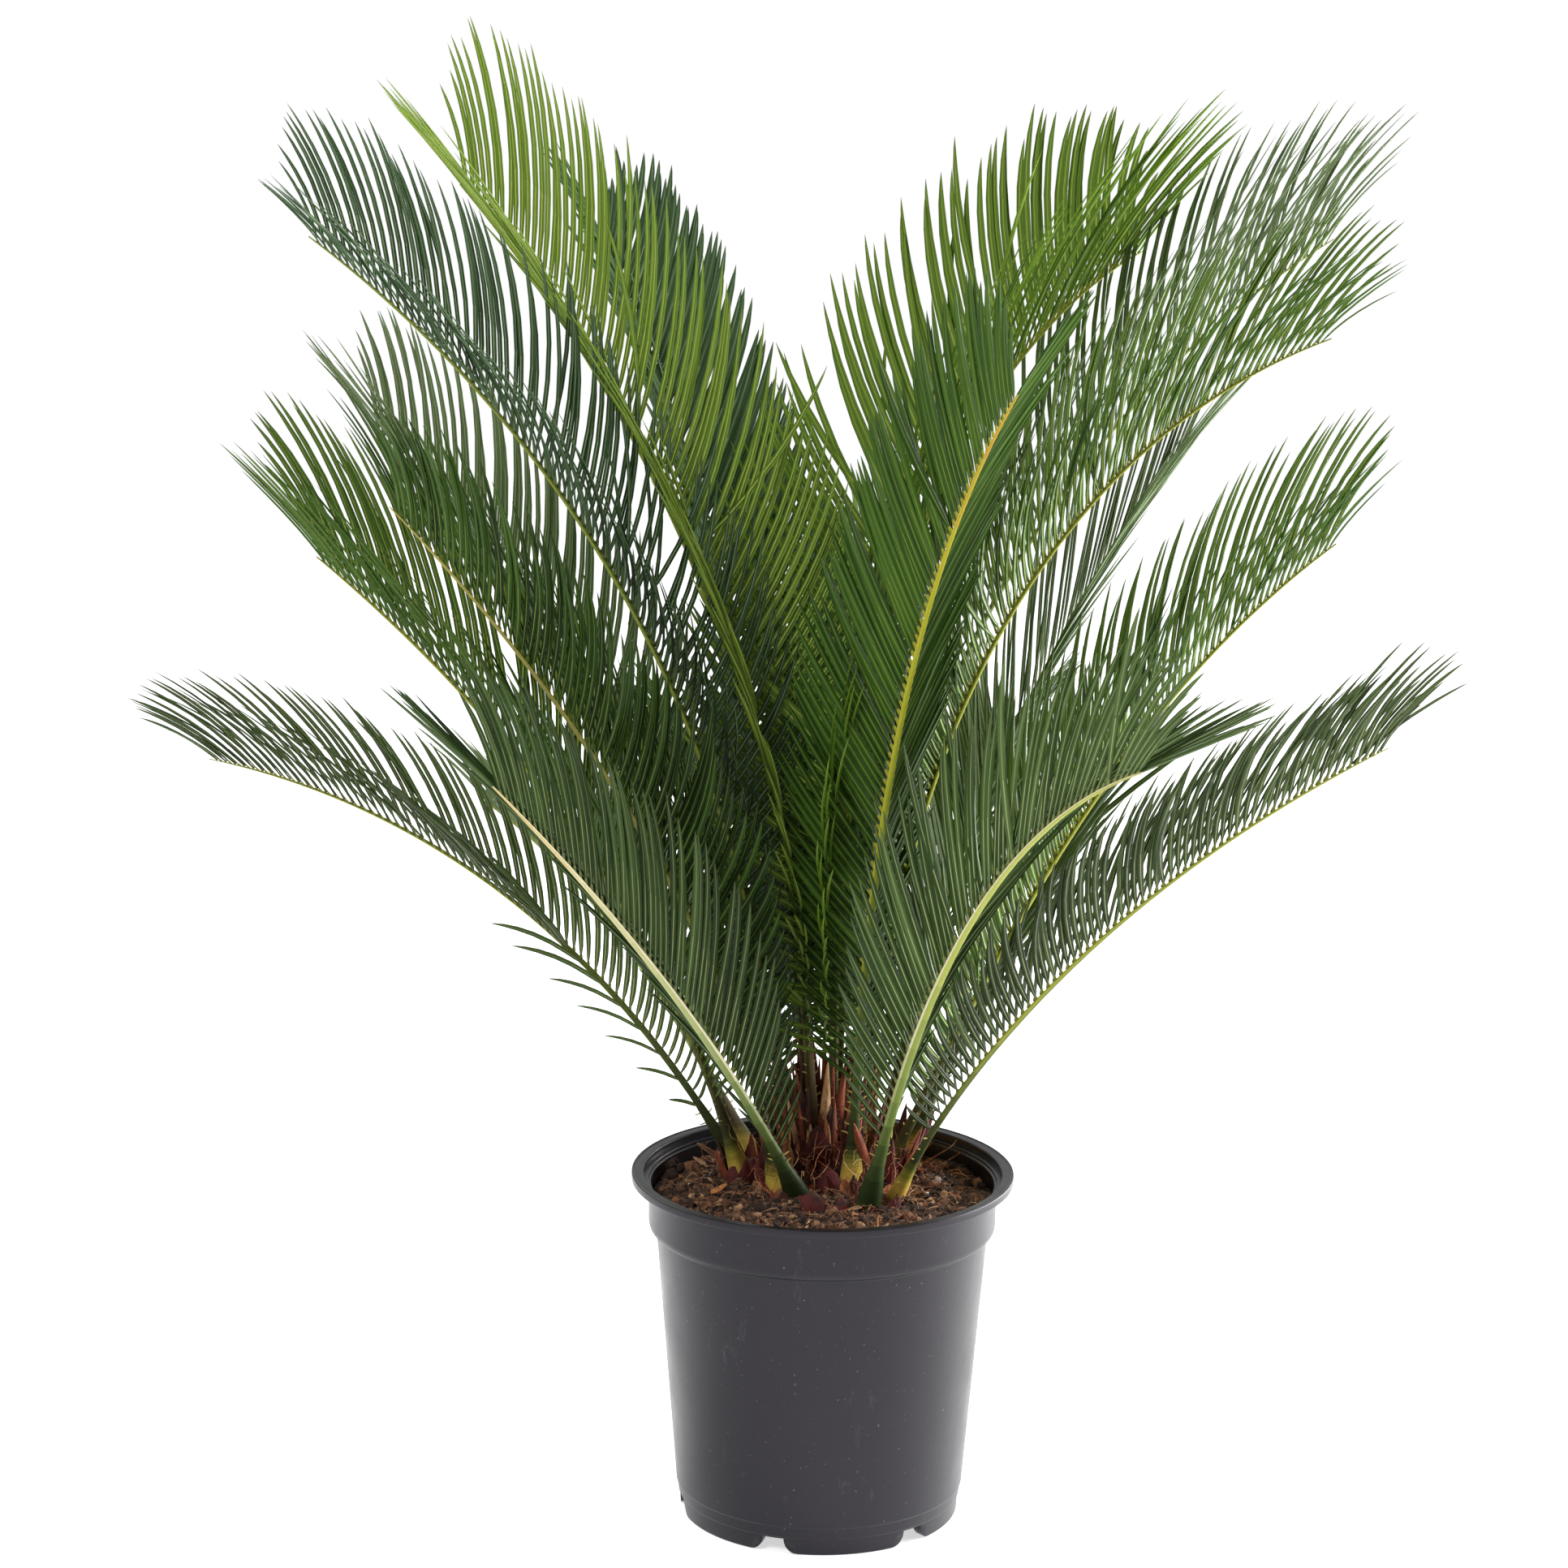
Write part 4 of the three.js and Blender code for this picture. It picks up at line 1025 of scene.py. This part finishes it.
def leaflet_row(bag, frond, row, own, tree, owners, rng):
    """The leaflets of one side, row -1 or 1. own is the frond's number among the owners."""
    count = round(frond.length * (LAST_LEAFLET - FIRST_LEAFLET) / LEAFLET_SPACING)
    place = (np.arange(count) + (0.5 if row > 0 else 0)) / count
    shares = FIRST_LEAFLET + (LAST_LEAFLET - FIRST_LEAFLET) * (1.1 * place - 0.1 * place ** 2)
    stray = STRAY_TURN * rng.normal(size=(2, count)) * (rng.uniform(size=count) < STRAYS)
    angles = np.interp(shares, *LEAFLET_ANGLE) + frond.spread + rng.normal(0, ANGLE_SPREAD, count) + stray[0]
    keels = frond.keel + rng.normal(0, KEEL_SPREAD, count) + stray[1]
    lengths = LEAFLET_LENGTH * frond.leaf * np.interp(shares, *LENGTH_SHARE)
    lengths *= 1 + rng.normal(0, LENGTH_SPREAD, count)
    droops = rng.normal(LEAFLET_DROOP, DROOP_SPREAD, count)
    bends = np.full(count, LEAFLET_BEND)
    tilts = TILTS.get(frond.name, LEAFLET_TILT) + rng.normal(0, TILT_SPREAD, count)
    keep = np.ones(count, dtype=bool)
    if row < 0 and frond.name in THINNED:
        low = shares < THINNED_UP_TO
        keep = (np.arange(count) % THINNED[frond.name] == 0) | ~low
        keels = np.where(low, keels * THINNED_KEEL, keels + RAISED_KEEL)
        angles = np.where(low, angles + THINNED_TURN, angles)
        lengths = np.where(low, lengths * THINNED_LENGTH, lengths)
        bends = np.where(low, THINNED_BEND, bends)
        tilts = np.where(low, THINNED_TILT, tilts)
    lines, facing = leaflet_lines(frond, row, shares, angles, keels, lengths, droops, bends)
    for index in np.flatnonzero(keep):
        one = slice(index, index + 1)
        for factor, shift in itertools.product(SHORTENINGS, KEEL_SHIFTS):
            line, face = leaflet_lines(
                frond, row, shares[one], angles[one], keels[one] + shift, lengths[one] * factor,
                droops[one], bends[one],
            )
            if is_clear(line[0], own, tree, owners):
                lines[index], facing[index] = line[0], face[0]
                break
        else:
            keep[index] = False
    lines, facing = lines[keep], facing[keep]
    room = LEAFLET_FILL * LEAFLET_SPACING * np.sin(np.radians(angles[keep]))
    half = np.clip(room, LEAFLET_LEAST_WIDTH, LEAFLET_WIDTH) / 2
    half *= np.clip(lengths[keep] / FULL_WIDTH_LENGTH, 0.6, 1) * frond.width
    across, face = axes_along(lines, facing[:, None])
    tilt = np.radians(row * tilts[keep])[:, None, None]
    turned_across = np.cos(tilt) * across + np.sin(tilt) * face
    turned_face = np.cos(tilt) * face - np.sin(tilt) * across
    widths = half[:, None] * LEAFLET_WIDTHS
    depths = half[:, None] * LEAFLET_WIDTHS * LEAFLET_DEPTHS
    rings = sweep(lines, turned_across, turned_face, widths, depths, LEAFLET_SECTION)
    kinds = np.tile(SECTION_KINDS, (len(lines), len(LEAFLET_RINGS) - 1, 1))
    lot = rng.uniform(size=len(lines))
    dark = lot < np.interp(shares[keep], *DARK_SHARE)
    light = lot > 1 - np.interp(shares[keep], *LIGHT_SHARE)
    tint = np.select([dark, light], [DARK_SLOT, LIGHT_SLOT], 0)
    # middle-strip panels take the pale colour that is partly a painted sheen highlight
    slots = np.select([kinds == VEIN_AND_SHEEN, kinds == UNDER], [FAINT_VEIN_SLOT, UNDER_SLOT], tint[:, None, None])
    near = slots[:, :STRONG_VEIN_RINGS]
    near[kinds[:, :STRONG_VEIN_RINGS] == VEIN_AND_SHEEN] = VEIN_SLOT
    slots[:, :2] = KNOB_SLOT
    bag.add(rings, slots)


def leaf_materials(look):
    """Materials in the order of the leaflets' slots."""
    blades, vein_and_sheen, under, knob, _, _ = LOOKS[look]
    # the middle strip's pale colour is partly real and partly a painted sheen highlight
    faint = [(2 * pale + plain) // 3 for pale, plain in zip(vein_and_sheen, blades[0])]
    kinds = [(f"blade_{i + 1}", tint, 0.34) for i, tint in enumerate(blades)]
    kinds += [("vein_and_sheen", vein_and_sheen, 0.42), ("faint_vein_and_sheen", faint, 0.4)]
    kinds += [("underside", under, 0.55), ("knob", knob, 0.45)]
    return [leaf_material(f"{look}_{kind}", colour, roughness) for kind, colour, roughness in kinds]


def rib_materials(look):
    """Shades from foot to tip of the midrib's top, the same blended with the painted highlight of its lit
    edges, then base and spines.
    """
    middles = ((np.arange(RIB_SHADES) + 0.5) / RIB_SHADES) ** 2
    highlight_colour, stops = np.array(LOOKS[look][-2]), np.array(LOOKS[look][-1])
    top = np.stack([np.interp(middles, RIB_STOPS, stops[:, channel]) for channel in range(3)], -1)
    # the side panels' shades blend towards the painted highlight colour along the length
    highlight_share = np.interp(middles, RIB_HIGHLIGHT_RAMP, [0, 1])[:, None]
    edge = top + highlight_share * (highlight_colour - top)
    fade = np.array(LEAF_BASE_BLEND)[:, None]
    base = (1 - fade) * LEAF_BASE_COLOURS + fade * stops[0]
    shades = [*top, *edge, *base, SPINE_COLOUR]
    return [leaf_material(f"{look}_midrib_{i + 1}", colour, 0.42) for i, colour in enumerate(shades)]


def make_midrib(frond, materials, rng):
    """The midrib from below the soil to its tip, with spines up to the first leaflet."""
    bag = Bag()
    foot, rest = np.linspace(0, 0.1, FOOT_RINGS), np.linspace(0.1, 1, RIB_RINGS)
    shares = np.concatenate([[-BURIED], foot, rest[1:]])
    _, normal, side = frond.axes(shares)
    radius = frond.radius(shares)
    rings = sweep(frond.at(shares)[None], side[None], normal[None], radius[None], radius[None], RIB_SECTION)
    band = np.minimum(np.sqrt(shares[1:]) * RIB_SHADES, RIB_SHADES - 1).astype(int)
    # panels of the lit edge take the shades with the painted highlight
    slots = band[:, None] + RIB_SHADES * RIB_HIGHLIGHT_PANELS
    base = (shares[1:] * frond.length / LEAF_BASE_STEP * rng.uniform(0.85, 1.15)).astype(int)
    if frond.name in GREEN_BASES:
        base += GREEN_BASE_SKIP
    base_slots = 2 * RIB_SHADES + base
    slots = np.where((base < len(LEAF_BASE_COLOURS))[:, None], base_slots[:, None], slots)
    bag.add(rings, slots[None])

    start, stop = FIRST_SPINE, FIRST_LEAFLET * frond.length
    count = max(int((stop - start) / SPINE_SPACING), 2)
    for row in (-1, 1):
        place = (np.arange(count) + rng.uniform(0, 0.6, count)) / count
        where = (start + (stop - start) * place) / frond.length
        tangent, normal, side = frond.axes(where)
        roots = frond.at(where) + row * side * frond.radius(where)[:, None] * 0.7
        directions = unit(row * side + 0.45 * tangent + 0.25 * normal)
        lengths = SPINE_LENGTH * rng.uniform(0.7, 1.4, count)
        radii, slots = np.full(count, SPINE_RADIUS), np.full(count, SPINE_SLOT)
        threads(bag, roots, directions, lengths, radii, slots, rng, wave=0.05, rings=4, sides=5)
    bag.piece(f"{frond.name}_midrib", materials, 60, [frond.name], "frond")


def make_fronds(fronds):
    tree, owners = midrib_tree(fronds)
    leaf_sets = {look: leaf_materials(look) for look in LOOKS}
    rib_sets = {look: rib_materials(look) for look in LOOKS}
    for own, frond in enumerate(fronds):
        rng = np.random.default_rng(FROND_SEED + own)
        make_midrib(frond, rib_sets[frond.look], rng)
        bag = Bag()
        for row in (-1, 1):
            leaflet_row(bag, frond, row, own, tree, owners, rng)
        bag.piece(f"{frond.name}_leaflets", leaf_sets[frond.look], 72, [frond.name], "frond")


# ---- stage, light and camera
WHITE = (1, 1, 1, 1)
FLOOR_TINT = (0.86, 0.86, 0.86, 1)
FLOOR_REACH = 4.0
FLOOR_DROP = 0.2 * MM  # the floor lies this far below the pot's feet


def make_floor():
    mesh = bpy.data.meshes.new("floor")
    signs = [(-1, -1), (1, -1), (1, 1), (-1, 1)]
    corners = [(x * FLOOR_REACH, y * FLOOR_REACH, -FLOOR_DROP) for x, y in signs]
    mesh.from_pydata(corners, [], [(0, 1, 2, 3)])
    material, _, shader = new_material("studio_floor")
    looks = {"Base Color": FLOOR_TINT, "Roughness": 0.9, "Emission Color": WHITE, "Emission Strength": 0.6}
    set_inputs(shader, looks)
    mesh.materials.append(material)
    floor = add_object("floor", mesh)


ROOM_LIGHT = (0.08, 0.8)  # on the camera's side, and behind the plant
# name, place, size and power in watts
SOFTBOXES = [
    ("key", (-1.5, -2.4, 3.2), (1.3, 1.3), 80),
    ("left_strip", (-2.4, 1.4, 0.9), (0.5, 1.8), 5),
    ("right_panel", (2.0, 0.9, 0.7), (2.4, 1.7), 188),
]
LIGHT_TARGET = (0, 0, 0.45)


def add_light(name, place, size, power):
    data = bpy.data.lights.new(name, "AREA")
    data.shape = "RECTANGLE"
    data.size, data.size_y = size
    data.energy = power
    lamp = add_object(name, data)
    lamp.location = place
    lamp.rotation_euler = (Vector(LIGHT_TARGET) - Vector(place)).to_track_quat("-Z", "Y").to_euler()


def make_light():
    """A white backdrop, a room that is lighter behind the plant, and three softboxes."""
    world = bpy.data.worlds.new("studio")
    world.use_nodes = True
    tree = world.node_tree
    backdrop = tree.nodes["Background"]
    set_inputs(backdrop, {"Color": WHITE, "Strength": 1.0})
    place = add_node(tree, "ShaderNodeTexCoord", {})["Generated"]
    depth = add_node(tree, "ShaderNodeSeparateXYZ", {"Vector": place})["Y"]
    glow = {"Color": WHITE, "Strength": spread(tree, depth, *ROOM_LIGHT, -1, 1)}
    room = add_node(tree, "ShaderNodeBackground", glow)["Background"]
    seen = add_node(tree, "ShaderNodeLightPath", {})["Is Camera Ray"]
    blend = {"Fac": seen, 1: room, 2: backdrop.outputs["Background"]}
    sky = add_node(tree, "ShaderNodeMixShader", blend)["Shader"]
    set_inputs(tree.nodes["World Output"], {"Surface": sky})
    bpy.context.scene.world = world
    bpy.context.scene.view_settings.view_transform = "Standard"
    for lamp in SOFTBOXES:
        add_light(*lamp)


def make_camera():
    """The camera looks down at the plant from the front, a little tilted."""
    elevation, roll = math.radians(CAMERA_ELEVATION), math.radians(CAMERA_ROLL)
    forward = Vector((0, math.cos(elevation), -math.sin(elevation)))
    level_right = Vector((1, 0, 0))
    level_up = level_right.cross(forward)
    right = math.cos(roll) * level_right + math.sin(roll) * level_up
    up = right.cross(forward)
    data = bpy.data.cameras.new("camera")
    data.lens = LENS
    data.sensor_width = SENSOR
    data.clip_end = 100
    camera = add_object("camera", data)
    place = Vector(CAMERA_TARGET) - CAMERA_DISTANCE * forward
    camera.matrix_world = Matrix.Translation(place) @ Matrix((right, up, -forward)).transposed().to_4x4()
    bpy.context.scene.camera = camera


make_camera()
make_light()
make_floor()
make_pot()
make_soil()
make_soil_litter()
make_stems()
palm_fronds = [Frond(*row) for row in FRONDS]
make_scale_leaves(palm_fronds)
make_fronds(palm_fronds)
